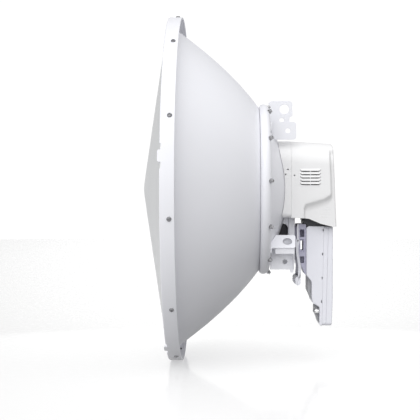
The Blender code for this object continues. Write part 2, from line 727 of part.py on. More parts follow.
def make_electronics(board, metal, dark, brass, slide):
    pieces = [
        ("circuit_board", (61 * MM, -34 * MM, -215 * MM), (62.6 * MM, 34 * MM, -80 * MM), board),
        ("rf_shield", (53.5 * MM, -26 * MM, -150 * MM), (60.7 * MM, 26 * MM, -92 * MM), metal),
        ("heat_spreader", (62.9 * MM, -30 * MM, -205 * MM), (69 * MM, 30 * MM, -88 * MM), metal),
    ]
    for name, low, high, mat in pieces:
        attach(solid(name, block(low, high), mat), slide)
    body = block((66 * MM, -8.5 * MM, -253.5 * MM), (78.5 * MM, 8.5 * MM, -232 * MM))
    jack = solid("ethernet_jack", body, dark)
    cut(jack, block((68 * MM, -6 * MM, -260 * MM), (76.5 * MM, 6 * MM, -236 * MM)))
    attach(jack, slide)
    for side, name in ((-1, "left"), (1, "right")):
        cup = [(0, 0), (0, 8 * MM), (7.4 * MM, 8 * MM), (7.4 * MM, 5 * MM), (2 * MM, 5 * MM), (2 * MM, 0)]
        plug = turned(cup, 16)
        upright = Vector((0, 0, 1)).to_track_quat("X", "Z").to_matrix()
        bmesh.ops.rotate(plug, verts=plug.verts, matrix=upright)
        bmesh.ops.translate(plug, verts=plug.verts, vec=(SOCKET_X, side * SOCKET_Y, RADIO_TOP + GAP))
        attach(solid(f"rf_plug_{name}", plug, brass), slide)


def make_ground_screw(zinc, steel, slide):
    place = Vector((62.3 * MM, -31 * MM, -230 * MM))
    stud = [(-7 * MM, 0), (-7 * MM, 4.4 * MM), (0, 4.4 * MM), (0, 0)]
    head = [(-11.6 * MM, 0), (-11.2 * MM, 2.4 * MM), (-9.6 * MM, 3.2 * MM)]
    head += [(-7.3 * MM, 3.2 * MM), (-7.3 * MM, 0)]
    for name, profile, mat in (("ground_stud", stud, zinc), ("ground_screw", head, steel)):
        mesh = turned(profile, 12)
        bmesh.ops.translate(mesh, verts=mesh.verts, vec=place)
        attach(solid(name, mesh, mat), slide)


def make_port_cover(finish, slide):
    """The wedge-shaped door on the lower front, which slides down off the service window."""
    rear = 62.3  # GAP in front of the shell's lower face
    outline = scaled([(rear, -223.3, 0), (55.4, -219.2, 2), (55.4, -234.5, 2), (rear, -253.5, 0)])
    cover = solid("port_cover", extruded(outline, -24 * MM, 24 * MM), finish)
    attach(cover, slide)


def main():
    clear_scene()
    white = material("powder_white", (0.86, 0.86, 0.87), 0.42)
    radome_grey = material("radome_plastic", (0.72, 0.73, 0.73), 0.5)
    cover_white = material("cover_plastic", (0.88, 0.88, 0.86), 0.45)
    radio_grey = material("radio_plastic", (0.78, 0.78, 0.82), 0.45)
    mount_grey = material("mount_plastic", (0.55, 0.54, 0.62), 0.5)
    dark = material("dark_cast_metal", (0.07, 0.07, 0.08), 0.5)
    rubber = material("rubber", (0.04, 0.04, 0.045), 0.8)
    steel = material("stainless", (0.55, 0.55, 0.56), 0.3, 1.0)
    zinc = material("zinc_plate", (0.8, 0.8, 0.8), 0.35, 1.0)
    alloy = material("alloy", (0.7, 0.7, 0.72), 0.4, 1.0)
    brass = material("brass", (0.75, 0.6, 0.3), 0.3, 1.0)
    ptfe = material("ptfe", (0.9, 0.9, 0.88), 0.5)
    board = material("circuit_board_green", (0.03, 0.16, 0.08), 0.5)
    cover_slide = empty("cover_slide", (COVER_FRONT, 0, 0))
    radio_slide = empty("radio_slide", (RADIO_FRONT, 0, RADIO_TOP))
    lever_pivot = empty("lever_pivot", (PIVOT[0], 0, PIVOT[1]))
    port_slide = empty("port_cover_slide", (62.3 * MM, 0, -221 * MM))
    attach(port_slide, radio_slide)
    make_reflector(white)
    make_radome(radome_grey)
    make_rim_band(white)
    make_rim_screws(steel)
    make_rear_ring(white)
    make_ring_bolts(steel)
    make_upper_left_ear(white)
    make_upper_right_ear(white)
    make_lower_ear("ear_lower_left", -1, white)
    make_lower_ear("ear_lower_right", 1, white)
    make_feed(alloy, ptfe)
    make_feed_housing(cover_white)
    make_rear_cover(cover_white, cover_slide)
    make_adapter(dark, brass)
    make_mount_arm(white, rubber)
    make_radio_mount(mount_grey)
    make_release_lever(radio_grey, steel, lever_pivot)
    make_front_shell(radio_grey, radio_slide)
    make_radio_shells(radio_grey, rubber, radio_slide)
    make_electronics(board, alloy, dark, brass, radio_slide)
    make_ground_screw(zinc, steel, radio_slide)
    make_port_cover(radio_grey, port_slide)


main()
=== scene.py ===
"""The looks of the outdoor wireless bridge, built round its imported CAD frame.

The dish axis is X and the antenna looks along -X. +Z is up, and -Y is its left side.
Lengths are in metres, and MM turns millimetres into them.
"""

import json
import math

import bmesh
import bpy
from mathutils import Matrix, Vector


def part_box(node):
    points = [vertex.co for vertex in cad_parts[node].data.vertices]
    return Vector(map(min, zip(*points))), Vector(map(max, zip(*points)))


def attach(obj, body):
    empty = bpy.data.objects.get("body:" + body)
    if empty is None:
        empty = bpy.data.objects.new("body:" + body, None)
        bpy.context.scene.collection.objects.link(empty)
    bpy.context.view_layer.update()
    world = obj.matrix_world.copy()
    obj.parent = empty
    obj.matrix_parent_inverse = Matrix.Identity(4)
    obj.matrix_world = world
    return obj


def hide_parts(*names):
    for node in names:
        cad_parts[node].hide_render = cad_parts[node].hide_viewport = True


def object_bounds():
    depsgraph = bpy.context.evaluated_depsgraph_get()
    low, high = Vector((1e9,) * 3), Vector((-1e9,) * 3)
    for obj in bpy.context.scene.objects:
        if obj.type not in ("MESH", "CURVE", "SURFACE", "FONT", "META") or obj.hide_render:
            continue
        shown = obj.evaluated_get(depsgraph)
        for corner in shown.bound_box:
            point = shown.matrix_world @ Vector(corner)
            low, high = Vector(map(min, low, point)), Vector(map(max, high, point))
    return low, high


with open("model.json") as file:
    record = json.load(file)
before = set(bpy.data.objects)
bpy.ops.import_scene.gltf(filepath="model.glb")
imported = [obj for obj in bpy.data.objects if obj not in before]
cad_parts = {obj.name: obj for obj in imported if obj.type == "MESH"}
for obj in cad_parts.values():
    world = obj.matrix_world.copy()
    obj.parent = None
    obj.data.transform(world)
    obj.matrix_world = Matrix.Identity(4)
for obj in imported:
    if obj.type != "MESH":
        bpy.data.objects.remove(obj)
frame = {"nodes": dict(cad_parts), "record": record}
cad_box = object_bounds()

MM = 0.001

RECORD = frame["record"]
BODY_OF = {node: body for body, nodes in RECORD["behaviour"]["bodies"].items() for node in nodes}
SLOT_OF = {part["node"]: part["material_slot"] for part in RECORD["subparts"]}

ROUND_SIDES = 288

# Dish: the paraboloid r^2 = DISH_PARAMETER * (DISH_VERTEX - x) is its back surface.
DISH_PARAMETER = 430 * MM
DISH_VERTEX = 5.2 * MM
DISH_WALL = 3 * MM
DISH_HOLE = 24 * MM
SKIRT_END = -197 * MM
SHEET = 2 * MM

# Rim band
BAND_FRONT = -218.5 * MM
BAND_WALL = 3 * MM
BAND_LIP_RADIUS = 318.5 * MM
BAND_CORNER = 1.6 * MM
TAB_ANGLES = (9, -61, 171, -119)
TAB_WIDTH = 20 * MM
NOTCH_WIDTH = 11 * MM
NOTCH_DEPTH = 2.7 * MM

# Radome
RADOME_SLOPE = 0.1725
RADOME_WALL = 3 * MM
RADOME_RADIUS = 317 * MM
RADOME_TIP_CURVE = 7.1 * MM

# Rear ring
RING_RADIUS = 162.3 * MM
RING_HOLE = 130.5 * MM
RING_WALL = 2.3 * MM
RING_REAR_CURVE = 11.5 * MM
RING_FRONT_CURVE = 8 * MM
BOLT_TILT = 36.5  # degrees out from straight back
BOLT_WASHER = 1.6 * MM

# Ears
EAR_SHEET = 2.3 * MM
BIG_HOLE = 9.4 * MM
SMALL_HOLE = 4.5 * MM
WING_TILT = 46  # degrees
WING_CENTRE = (0.5 * MM, 72.3 * MM, -98 * MM)
WING_HOLE = 8.8 * MM
DISH_CLEARANCE = 0.6 * MM
EAR_FACE, LIP_Y = 61, 82.5  # millimetres from the middle: the plates' outer faces, the lower ears' lips

# Housing and rain cover
SHELL = 3 * MM
ARCH_CORNER = 42 * MM
DISH_GAP = 0.9 * MM
HOUSING_FOOT = 9 * MM
COVER_WAIST = 55 * MM
COVER_TOP_REAR = 85.5 * MM
COVER_LEAN = -6 / 156.6  # how far the rear face comes forward for each unit of height
COVER_ROUND = 3.5 * MM
COVER_REACH = 0.35 * MM  # how far the cover's front edge comes towards the housing, for a fine seam
DOT = 1.4 * MM  # the radius of the housing's and the cover's small round openings
RIDGE_SPREAD = 17 * MM
RIDGE_SQUEEZE = 3.5  # the ridge's slope is this much shorter along X than along Z
LOUVRES = 5
LOUVRE_PITCH = 6.15 * MM
LOUVRE_TOP = 32.4 * MM
LOUVRE_X = (24.3 * MM, 43 * MM, 44.6 * MM, 63.3 * MM)
LOUVRE_END = 3.5 * MM

# The radio and its mount; the values with no unit of their own go into outlines, which are in millimetres.
ARM_FRONT = 4
CHEEK_REAR = 23.6 * MM
RADIO_EDGE = 2.4 * MM
RADIO_HIGH, RADIO_LOW = -69.6, -257
FIRST_SEAM = (70.9, 67.2)  # x at the top and at the bottom
SECOND_SEAM = (79.4, 74.6)
SEAM = 0.25
CLIPS = (-77, -122.3, -167.4, -211.5)  # heights
PIVOT = (22.2 * MM, -97 * MM)  # x and z
PIN_HOLE = 1.8 * MM


# ---- finishes


def add_node(tree, kind, **inputs):
    """A shader node; an input is a number, a tuple or another node's output, and _ is a space in its name."""
    node = tree.nodes.new("ShaderNode" + kind)
    for name, value in inputs.items():
        feed(tree, node.inputs[name.replace("_", " ")], value)
    return node


def feed(tree, socket, value):
    if isinstance(value, bpy.types.NodeSocket):
        tree.links.new(value, socket)
    else:
        socket.default_value = value


def noise(tree, source, scale, detail=3):
    return add_node(tree, "TexNoise", Scale=scale, Detail=detail, Vector=source).outputs["Fac"]


def spread(tree, value, low, high):
    """Stretches the middle of a noise's range over low to high."""
    node = add_node(tree, "MapRange", From_Min=0.3, From_Max=0.7, To_Min=low, To_Max=high, Value=value)
    return node.outputs["Result"]


def tones(tree, value, colour, drift):
    """The colour, a little darker and lighter where the value is low and high."""
    node = add_node(tree, "ValToRGB", Fac=value)
    for element, place, gain in zip(node.color_ramp.elements, (0.3, 0.7), (1 - drift, 1 + drift)):
        element.position = place
        element.color = shade(colour, gain)
    return node.outputs["Color"]


def shade(colour, gain=1):
    """The colour made lighter or darker, with its alpha."""
    return (*[min(1, channel * gain) for channel in colour], 1)


def finish(
    name, colour, roughness, metallic=0, drift=0.02, peel=(260, 0.04), grain=(1500, 0.012), stretch=(1, 1, 1)
):
    """A finish with slow drifts of colour and gloss, a broad relief and a fine one.

    peel and grain are (features in a metre, depth in mm); stretch draws the relief out along an axis.
    """
    made = bpy.data.materials.new(name)
    made.use_nodes = True
    tree = made.node_tree
    shader = tree.nodes["Principled BSDF"]
    place = add_node(tree, "TexCoord").outputs["Object"]
    drawn = add_node(tree, "Mapping", Scale=stretch, Vector=place).outputs["Vector"]
    broad = add_node(tree, "Bump", Distance=peel[1] * MM, Height=noise(tree, drawn, peel[0], 2))
    height = noise(tree, drawn, grain[0], 4)
    fine = add_node(tree, "Bump", Distance=grain[1] * MM, Height=height, Normal=broad.outputs["Normal"])
    shader.inputs["Metallic"].default_value = metallic
    feed(tree, shader.inputs["Base Color"], tones(tree, noise(tree, place, 9), colour, drift))
    gloss = spread(tree, noise(tree, drawn, 70), roughness - 0.05, roughness + 0.05)
    feed(tree, shader.inputs["Roughness"], gloss)
    feed(tree, shader.inputs["Normal"], fine.outputs["Normal"])
    return made


def circuit_finish(name, colour):
    """Solder mask over copper tracks: a brick pattern with paler lines."""
    made = finish(name, colour, 0.35)
    tree = made.node_tree
    place = add_node(tree, "TexCoord").outputs["Object"]
    turned = add_node(tree, "Mapping", Rotation=(0, math.pi / 2, 0), Vector=place).outputs["Vector"]
    tracks = add_node(tree, "TexBrick", Scale=110, Mortar_Size=0.05, Vector=turned)
    for key, gain in (("Color1", 1), ("Color2", 0.8), ("Mortar", 1.9)):
        tracks.inputs[key].default_value = shade(colour, gain)
    feed(tree, tree.nodes["Principled BSDF"].inputs["Base Color"], tracks.outputs["Color"])
    return made


def make_finishes():
    """One finish for each of the record's material slots, and two for some of a slot's pieces.

    Those two are one for the radio's boss and port cover, the radio plastic darkened with painted shade, and
    screw_steel, for the rim's screws.
    """
    made = {}

    def add(name, *values, **others):
        made[name] = finish(name, *values, **others)

    add("powder_white", (0.80, 0.805, 0.845), 0.42, drift=0.012)
    add("radome_plastic", (0.85, 0.86, 0.87), 0.5, peel=(120, 0.05), grain=(900, 0.02))
    add("cover_plastic", (0.78, 0.78, 0.785), 0.45, drift=0.012, grain=(1300, 0.025))
    add("radio_plastic", (0.76, 0.765, 0.82), 0.42, drift=0.012, grain=(1300, 0.025))
    add("mount_plastic", (0.43, 0.425, 0.53), 0.45, drift=0.04, grain=(1100, 0.03))
    # the radio plastic darkened: painted shade for the boss and the port cover, which sit in shade
    add("radio_painted_shade", (0.36, 0.365, 0.38), 0.45, drift=0.03, grain=(1200, 0.03))
    add("dark_metal", (0.03, 0.031, 0.036), 0.5, drift=0.1, peel=(500, 0.08))
    add("rubber", (0.035, 0.035, 0.04), 0.75, drift=0.15, peel=(180, 0.1))
    add("stainless", (0.36, 0.36, 0.37), 0.24, 1.0, 0.1, (700, 0.02), stretch=(6, 1, 1))
    add("screw_steel", (0.22, 0.22, 0.23), 0.3, 1.0, 0.1, (700, 0.02))
    add("zinc", (0.8, 0.8, 0.8), 0.3, 1.0, 0.05, (500, 0.03))
    add("alloy", (0.62, 0.62, 0.64), 0.35, 1.0, 0.04, (600, 0.02), stretch=(8, 1, 1))
    add("gold_brass", (0.75, 0.56, 0.25), 0.28, 1.0, 0.05, (600, 0.02))
    add("ptfe", (0.88, 0.88, 0.86), 0.5, peel=(150, 0.05))
    made["board_green"] = circuit_finish("board_green", (0.03, 0.16, 0.08))
    return made


FINISHES = make_finishes()


# ---- mesh tools


def new_object(name, bm):
    bmesh.ops.recalc_face_normals(bm, faces=bm.faces)
    mesh = bpy.data.meshes.new(name)
    bm.to_mesh(mesh)
    bm.free()
    mesh.shade_smooth()
    obj = bpy.data.objects.new(name, mesh)
    bpy.context.scene.collection.objects.link(obj)
    return obj


def settle(obj):
    """Makes what the modifiers give the object's own mesh."""
    graph = bpy.context.evaluated_depsgraph_get()
    mesh = bpy.data.meshes.new_from_object(obj.evaluated_get(graph))
    obj.modifiers.clear()
    obj.data = mesh
    return obj


def combine(obj, bm, operation):
    """A Boolean with another shape, after which flat faces are whole again."""
    other = new_object("helper", bm)
    modifier = obj.modifiers.new("boolean", "BOOLEAN")
    modifier.operation = operation
    modifier.object = other
    settle(obj)
    bpy.data.objects.remove(other)
    tidy = bmesh.new()
    tidy.from_mesh(obj.data)
    bmesh.ops.remove_doubles(tidy, verts=tidy.verts, dist=0.01 * MM)
    bmesh.ops.dissolve_limit(tidy, angle_limit=math.radians(0.5), verts=tidy.verts, edges=tidy.edges)
    tidy.to_mesh(obj.data)
    tidy.free()
    obj.data.shade_smooth()
    return obj


def cut(obj, bm):
    return combine(obj, bm, "DIFFERENCE")


def join(obj, bm):
    return combine(obj, bm, "UNION")


def keep(obj, bm):
    return combine(obj, bm, "INTERSECT")


def soften(obj, width, segments=3, angle=30):
    """Rounds every edge sharper than the angle."""
    modifier = obj.modifiers.new("soft edges", "BEVEL")
    modifier.width = width
    modifier.segments = segments
    modifier.angle_limit = math.radians(angle)
    modifier.harden_normals = True
    return obj


def dress(obj, *cad_nodes, edge=0.0, sharp=40, flat=False, look=None):
    """Gives a piece the body, the slot and the finish of the CAD nodes that it stands for.

    flat keeps the broad faces' shading flat up to the rounded edges; look names another finish.
    """
    if edge:
        soften(obj, edge)
    else:
        obj.data.set_sharp_from_angle(angle=math.radians(sharp))
    if flat:
        modifier = obj.modifiers.new("flat faces", "WEIGHTED_NORMAL")
        modifier.weight = 100
        modifier.keep_sharp = True
    slot = SLOT_OF[cad_nodes[0]]
    obj.data.materials.clear()
    obj.data.materials.append(FINISHES[look or slot])
    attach(obj, BODY_OF[cad_nodes[0]])
    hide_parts(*cad_nodes)
    return obj


def around(angle, x, radius):
    """The point at this angle, in degrees from the left side (-Y) up towards +Z."""
    turn = math.radians(angle)
    return Vector((x, -radius * math.cos(turn), radius * math.sin(turn)))


def arc(centre, radius, start, end, steps):
    """Points along an arc; angles in degrees from the first coordinate towards the second."""
    points = []
    for i in range(steps + 1):
        turn = math.radians(start + (end - start) * i / steps)
        points.append((centre[0] + radius * math.cos(turn), centre[1] + radius * math.sin(turn)))
    return points


def even_steps(start, end, steps):
    return [start + (end - start) * i / steps for i in range(steps + 1)]


def lathe(profile, sides=ROUND_SIDES):
    """A closed profile of (x, radius) points turned about X."""
    bm = bmesh.new()
    rings = []
    for x, radius in profile:
        count = sides if radius > 0.001 * MM else 1
        rings.append([bm.verts.new(around(360 * i / sides, x, radius)) for i in range(count)])
    for first, second in zip(rings, rings[1:] + rings[:1]):
        if len(first) == len(second) == 1:
            continue
        for i in range(sides):
            j = (i + 1) % sides
            corners = [first[i % len(first)], first[j % len(first)]]
            corners += [second[j % len(second)], second[i % len(second)]]
            bm.faces.new(dict.fromkeys(corners))  # a point on the axis counts once
    return bm


def loft(rings, closed=True, capped=True):
    """Faces between rings of points, one ring after the other."""
    bm = bmesh.new()
    made = [[bm.verts.new(point) for point in ring] for ring in rings]
    count = len(made[0])
    for first, second in zip(made, made[1:]):
        for i in range(count if closed else count - 1):
            j = (i + 1) % count
            bm.faces.new((first[i], first[j], second[j], second[i]))
    if capped:
        bm.faces.new(made[0])
        bm.faces.new(made[-1])
    return bm


def prism(outline, low, high, along="Y"):
    """A prism along one axis; its outline's points are the other two coordinates in X, Y, Z order."""
    place = "XYZ".index(along)
    return loft([[(*point[:place], level, *point[place:]) for point in outline] for level in (low, high)])


def block(low, high):
    """A box between two opposite corners."""
    outline = [(low[0], low[2]), (high[0], low[2]), (high[0], high[2]), (low[0], high[2])]
    return prism(outline, low[1], high[1])


def across(x, half, z):
    """A block as wide to both sides of the middle; x and z are (low, high), and all is in millimetres."""
    return block((x[0] * MM, -half * MM, z[0] * MM), (x[1] * MM, half * MM, z[1] * MM))


def merged(*parts):
    """One bmesh that holds several shapes which don't touch."""
    whole = bmesh.new()
    for part in parts:
        mesh = bpy.data.meshes.new("part")
        part.to_mesh(mesh)
        part.free()
        whole.from_mesh(mesh)
        bpy.data.meshes.remove(mesh)
    return whole


def turn(bm, degrees, axis="X"):
    bmesh.ops.rotate(bm, verts=bm.verts, matrix=Matrix.Rotation(math.radians(degrees), 3, axis))
    return bm


def shift(bm, offset):
    bmesh.ops.translate(bm, verts=bm.verts, vec=offset)
    return bm


def bar(start, end, radius, sides=40):
    """A round bar between two points."""
    start, end = Vector(start), Vector(end)
    length = (end - start).length
    bm = lathe([(0, 0), (0, radius), (length, radius), (length, 0)], sides)
    bmesh.ops.rotate(bm, verts=bm.verts, matrix=(end - start).to_track_quat("X", "Z").to_matrix())
    return shift(bm, start)


def rod(x, z, start, end, radius, sides=40):
    """A round bar along Y, between two y values."""
    return bar((x, start, z), (x, end, z), radius, sides)


def rounded(corners, steps=8):
    """The outline through (a, b, radius) corners in millimetres, with an arc of that radius at each."""
    outline = []
    count = len(corners)
    for i, (a, b, radius) in enumerate(corners):
        here = Vector((a, b))
        if radius == 0:
            outline.append((a * MM, b * MM))
            continue
        back = (Vector(corners[i - 1][:2]) - here).normalized()
        ahead = (Vector(corners[(i + 1) % count][:2]) - here).normalized()
        half = back.angle(ahead) / 2
        centre = here + (back + ahead).normalized() * radius / math.sin(half)
        first = here + back * radius / math.tan(half) - centre
        last = here + ahead * radius / math.tan(half) - centre
        for step in range(steps + 1):
            spoke = first.lerp(last, step / steps).normalized() * radius
            outline.append(tuple((centre + spoke) * MM))
    return outline


def window(x0, z0, x1, z1, radius):
    """The outline of an upright rectangle with rounded corners, in millimetres."""
    return rounded([(x0, z0, radius), (x1, z0, radius), (x1, z1, radius), (x0, z1, radius)], 4)


# ---- dish and rim


def dish_x(radius, offset=0.0):
    return DISH_VERTEX - offset - radius**2 / DISH_PARAMETER


def dish_radius(x, offset=0.0):
    return math.sqrt(DISH_PARAMETER * (DISH_VERTEX - offset - x))


def dish_body(offset):
    """A cutter: everything in front of the dish's back surface, moved back by offset."""
    reach, front = 170 * MM, -120 * MM
    profile = [(dish_x(radius, -offset), radius) for radius in even_steps(0, reach, 24)]
    profile += [(front, reach), (front, 0)]
    return lathe(profile, 144)


def make_reflector():
    low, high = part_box("reflector")
    rim, flange_front = high.z, low.x
    flange_rear = flange_front + SHEET
    back = even_steps(DISH_HOLE, dish_radius(flange_rear) - 1.5 * MM, 40)
    front = even_steps(dish_radius(flange_front, DISH_WALL), DISH_HOLE, 40)
    profile = [(dish_x(radius), radius) for radius in back]
    profile += [(flange_rear + 0.4 * MM, dish_radius(flange_rear) - 0.2 * MM)]
    profile += [(flange_rear, dish_radius(flange_rear) + MM)]
    profile += [(flange_rear, rim - SHEET - MM), (flange_rear + MM, rim - SHEET)]
    hem = SKIRT_END - 0.5 * MM
    profile += [(hem, rim - SHEET), (SKIRT_END, rim - SHEET / 2), (hem, rim)]
    profile += [(flange_front + MM, rim), (flange_front, rim - MM)]
    profile += [(dish_x(radius, DISH_WALL), radius) for radius in front]
    dress(new_object("dish_reflector", lathe(profile)), "reflector")


def make_radome():
    low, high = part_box("radome")
    tip, flange_rear, rim = low.x, high.x, high.z
    flange_front = flange_rear - SHEET
    foot = tip - RADOME_SLOPE * RADOME_TIP_CURVE

    def cone(radius):
        return foot + RADOME_SLOPE * math.hypot(radius, RADOME_TIP_CURVE)

    near_tip = [RADOME_TIP_CURVE * 4 * (i / 10) ** 1.5 for i in range(11)]
    outward = near_tip + even_steps(near_tip[-1], RADOME_RADIUS, 24)[1:]
    profile = [(cone(radius), radius) for radius in outward]
    shoulder = profile[-1]
    profile += arc((shoulder[0] + 1.2 * MM, shoulder[1] - 0.2 * MM), 1.2 * MM, 150, 90, 4)
    profile += [(flange_front, RADOME_RADIUS + MM), (flange_front, rim), (flange_rear, rim)]
    profile += [(flange_rear, RADOME_RADIUS - 2 * MM)]
    profile += [(cone(radius) + RADOME_WALL, radius) for radius in reversed(outward[:-1])]
    dress(new_object("radome_cone", lathe(profile)), "radome", sharp=50)


def band_shape(angle, outline, low, high):
    """A shape that stands on the rim band at this angle; its outline is (x, across) points."""
    return turn(prism(outline, low, high, "Z"), 90 - angle)


def make_rim_band():
    low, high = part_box("rim_band")
    front, rear, radius = BAND_FRONT, high.x, high.z
    inner = radius - BAND_WALL
    lip = front + SHEET
    corner = (front + BAND_CORNER, radius - BAND_CORNER)
    profile = arc((front + SHEET / 2, BAND_LIP_RADIUS + SHEET / 2), SHEET / 2, 270, 180, 4)
    profile += arc(corner, BAND_CORNER, 180, 90, 8)
    profile += arc((rear - 0.8 * MM, radius - 0.8 * MM), 0.8 * MM, 90, 0, 4)
    profile += [(rear, inner), (lip, inner), (lip, BAND_LIP_RADIUS)]
    band = new_object("rim_clamp_band", lathe(profile))
    reach = (front - low.x) / MM
    half = TAB_WIDTH / 2 / MM
    notches = []
    for angle in TAB_ANGLES:
        for side in (-1, 1):
            middle = side * (half + NOTCH_WIDTH / 2 / MM)
            wide, depth = NOTCH_WIDTH / 2 / MM, NOTCH_DEPTH / MM
            near, far = middle - wide, middle + wide
            shape = [(-6, near, 0), (depth, near, 2.2), (depth, far, 2.2), (-6, far, 0)]
            outline = [(front + x, y) for x, y in rounded(shape)]
            notches.append(band_shape(angle, outline, radius - 12 * MM, radius + 5 * MM))
    cut(band, merged(*notches))
    tabs = []
    for angle in TAB_ANGLES:
        shape = [(-reach, -half, 3), (-reach, half, 3), (6, half, 0), (6, -half, 0)]
        outline = [(front + x, y) for x, y in rounded(shape)]
        tabs.append(band_shape(angle, outline, radius - 2.6 * MM, radius - 0.1 * MM))
    join(band, merged(*tabs))
    dress(band, "rim_band", sharp=28)


def angle_of(node):
    """Where a fastener sits round the dish axis, in the degrees that around() takes."""
    low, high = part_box(node)
    middle = (low + high) / 2
    return math.degrees(math.atan2(middle.z, -middle.y))


def add_round(name, mesh, node, angle, x, radius, lean):
    """A fastener that stands for a CAD node; its axis leans by this angle from X, away from the dish axis."""
    piece = bpy.data.objects.new(name, mesh)
    bpy.context.scene.collection.objects.link(piece)
    tilt = math.radians(lean)
    piece.location = around(angle, x, radius)
    piece.rotation_euler = around(angle, math.cos(tilt), math.sin(tilt)).to_track_quat("X", "Z").to_euler()
    bpy.context.view_layer.update()
    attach(piece, BODY_OF[node])
    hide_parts(node)


def screw_mesh():
    """A pan head with a cross recess, on a short shank."""
    head, rise = 4.1 * MM, 2.3 * MM
    shank, depth = 2 * MM, 7.5 * MM
    dome = arc((0, head - rise), rise, 90, 0, 8)
    profile = [(-depth, 0), (-depth, shank), (-0.3 * MM, shank), (-0.3 * MM, head), *dome, (rise, 0)]
    screw = new_object("screw", lathe(profile, 40))
    long, half = 2.3 * MM, 0.55 * MM
    for wide, tall in ((long, half), (half, long)):
        cut(screw, block((0.7 * MM, -wide, -tall), (4 * MM, wide, tall)))
    screw.data.set_sharp_from_angle(angle=math.radians(40))
    screw.data.materials.append(FINISHES["screw_steel"])
    mesh = screw.data
    bpy.data.objects.remove(screw)
    return mesh


def bolt_mesh():
    """A flanged hex bolt whose head is turned down at its top corners."""
    flange, corner, shank = 4.1 * MM, 3.5 * MM, 2.2 * MM
    base, height, depth = MM, 4.2 * MM, 16 * MM
    head = new_object("bolt", lathe([(0.2 * MM, 0), (0.2 * MM, corner), (height, corner), (height, 0)], 6))
    turned = [(-MM, 0), (-MM, corner + MM), (height - MM, corner + MM), (height - MM, corner)]
    turned += [(height, corner * 0.8), (height - 0.3 * MM, corner * 0.55), (height - 0.3 * MM, 0)]
    keep(head, lathe(turned, 48))
    washer = [(-depth, 0), (-depth, shank), (-BOLT_WASHER, shank), (-BOLT_WASHER, shank * 1.9)]
    washer += [(-0.5 * MM, shank * 1.9), (-0.4 * MM, flange - 0.3 * MM), (0, flange)]
    washer += [(0.5 * MM, flange), (base + 0.3 * MM, corner * 0.8), (base + 0.3 * MM, 0)]
    join(head, lathe(washer, 48))
    head.data.set_sharp_from_angle(angle=math.radians(25))
    head.data.materials.append(FINISHES["stainless"])
    mesh = head.data
    bpy.data.objects.remove(head)
    return mesh


def make_fasteners():
    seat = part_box("rim_band")[1].z
    x = sum((corner.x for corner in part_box("rim_screw_01"))) / 2
    ring_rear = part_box("rear_ring")[1].x
    shoulder = (ring_rear - RING_REAR_CURVE, RING_RADIUS - RING_REAR_CURVE)
    lean = math.radians(BOLT_TILT)
    seat_radius = RING_REAR_CURVE + BOLT_WASHER
    bolt_x = shoulder[0] + seat_radius * math.cos(lean)
    bolt_radius = shoulder[1] + seat_radius * math.sin(lean)
    screw, bolt = screw_mesh(), bolt_mesh()
    for node in sorted(frame["nodes"]):
        if node.startswith("rim_screw"):
            add_round(f"{node}_pan_head", screw, node, angle_of(node), x, seat, 90)
        if node.startswith("ring_bolt"):
            add_round(f"{node}_hex_head", bolt, node, angle_of(node), bolt_x, bolt_radius, BOLT_TILT)


def make_rear_ring():
    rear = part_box("rear_ring")[1].x
    x = rear - RING_REAR_CURVE
    outer = (x, RING_RADIUS - RING_REAR_CURVE)
    front = (x, RING_RADIUS - RING_FRONT_CURVE)
    edge = MM
    profile = arc((rear - edge, RING_HOLE + edge), edge, 270, 360, 4)
    profile += arc(outer, RING_REAR_CURVE, 0, 90, 20)
    profile += arc(front, RING_FRONT_CURVE, 94, 166, 14)
    profile += arc(front, RING_FRONT_CURVE - RING_WALL, 160, 94, 14)
    profile += arc(outer, RING_REAR_CURVE - RING_WALL, 90, 0, 20)
    profile += [(rear - RING_WALL, RING_HOLE)]
    dress(new_object("rear_bracket_ring", lathe(profile)), "rear_ring", sharp=45)


# ---- ears


def bent_sheet(name, side, plate, foot):
    """An L of sheet metal: a plate with an (x, z) outline, bent outwards into a foot with a (y, z) outline.

    The outlines' corners are (a, b, radius) in millimetres, and the foot's y runs outwards from the middle.
    """
    face = (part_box("rear_ring")[1].x + 0.3 * MM) / MM
    sheet, bend = EAR_SHEET / MM, 1.6
    reach, rear = max(y for y, z, radius in foot), 30
    section = [(face, reach, 0), (face + sheet, reach, 0), (face + sheet, EAR_FACE, bend)]
    section += [(rear, EAR_FACE, 0), (rear, EAR_FACE - sheet, 0), (face, EAR_FACE - sheet, bend + sheet)]
    heights = [z for a, z, radius in (*plate, *foot)]
    low, high = min(heights) - 1, max(heights) + 1
    bent = prism([(x, side * y) for x, y in rounded(section)], low * MM, high * MM, "Z")
    ear = new_object(name, bent)
    spans = [sorted((side * 50 * MM, side * 62.6 * MM)), (face * MM - MM, (face + 6) * MM)]
    mask = new_object("mask", prism(rounded(plate), *spans[0]))
    join(mask, prism([(side * y, z) for y, z in rounded(foot)], *spans[1], "X"))
    kept = bmesh.new()
    kept.from_mesh(mask.data)
    bpy.data.objects.remove(mask)
    keep(ear, kept)
    return ear


def hole(side, x, z, radius):
    """A cutter across one ear; x and z are in millimetres."""
    return rod(x * MM, z * MM, side * 45 * MM, side * 75 * MM, radius)


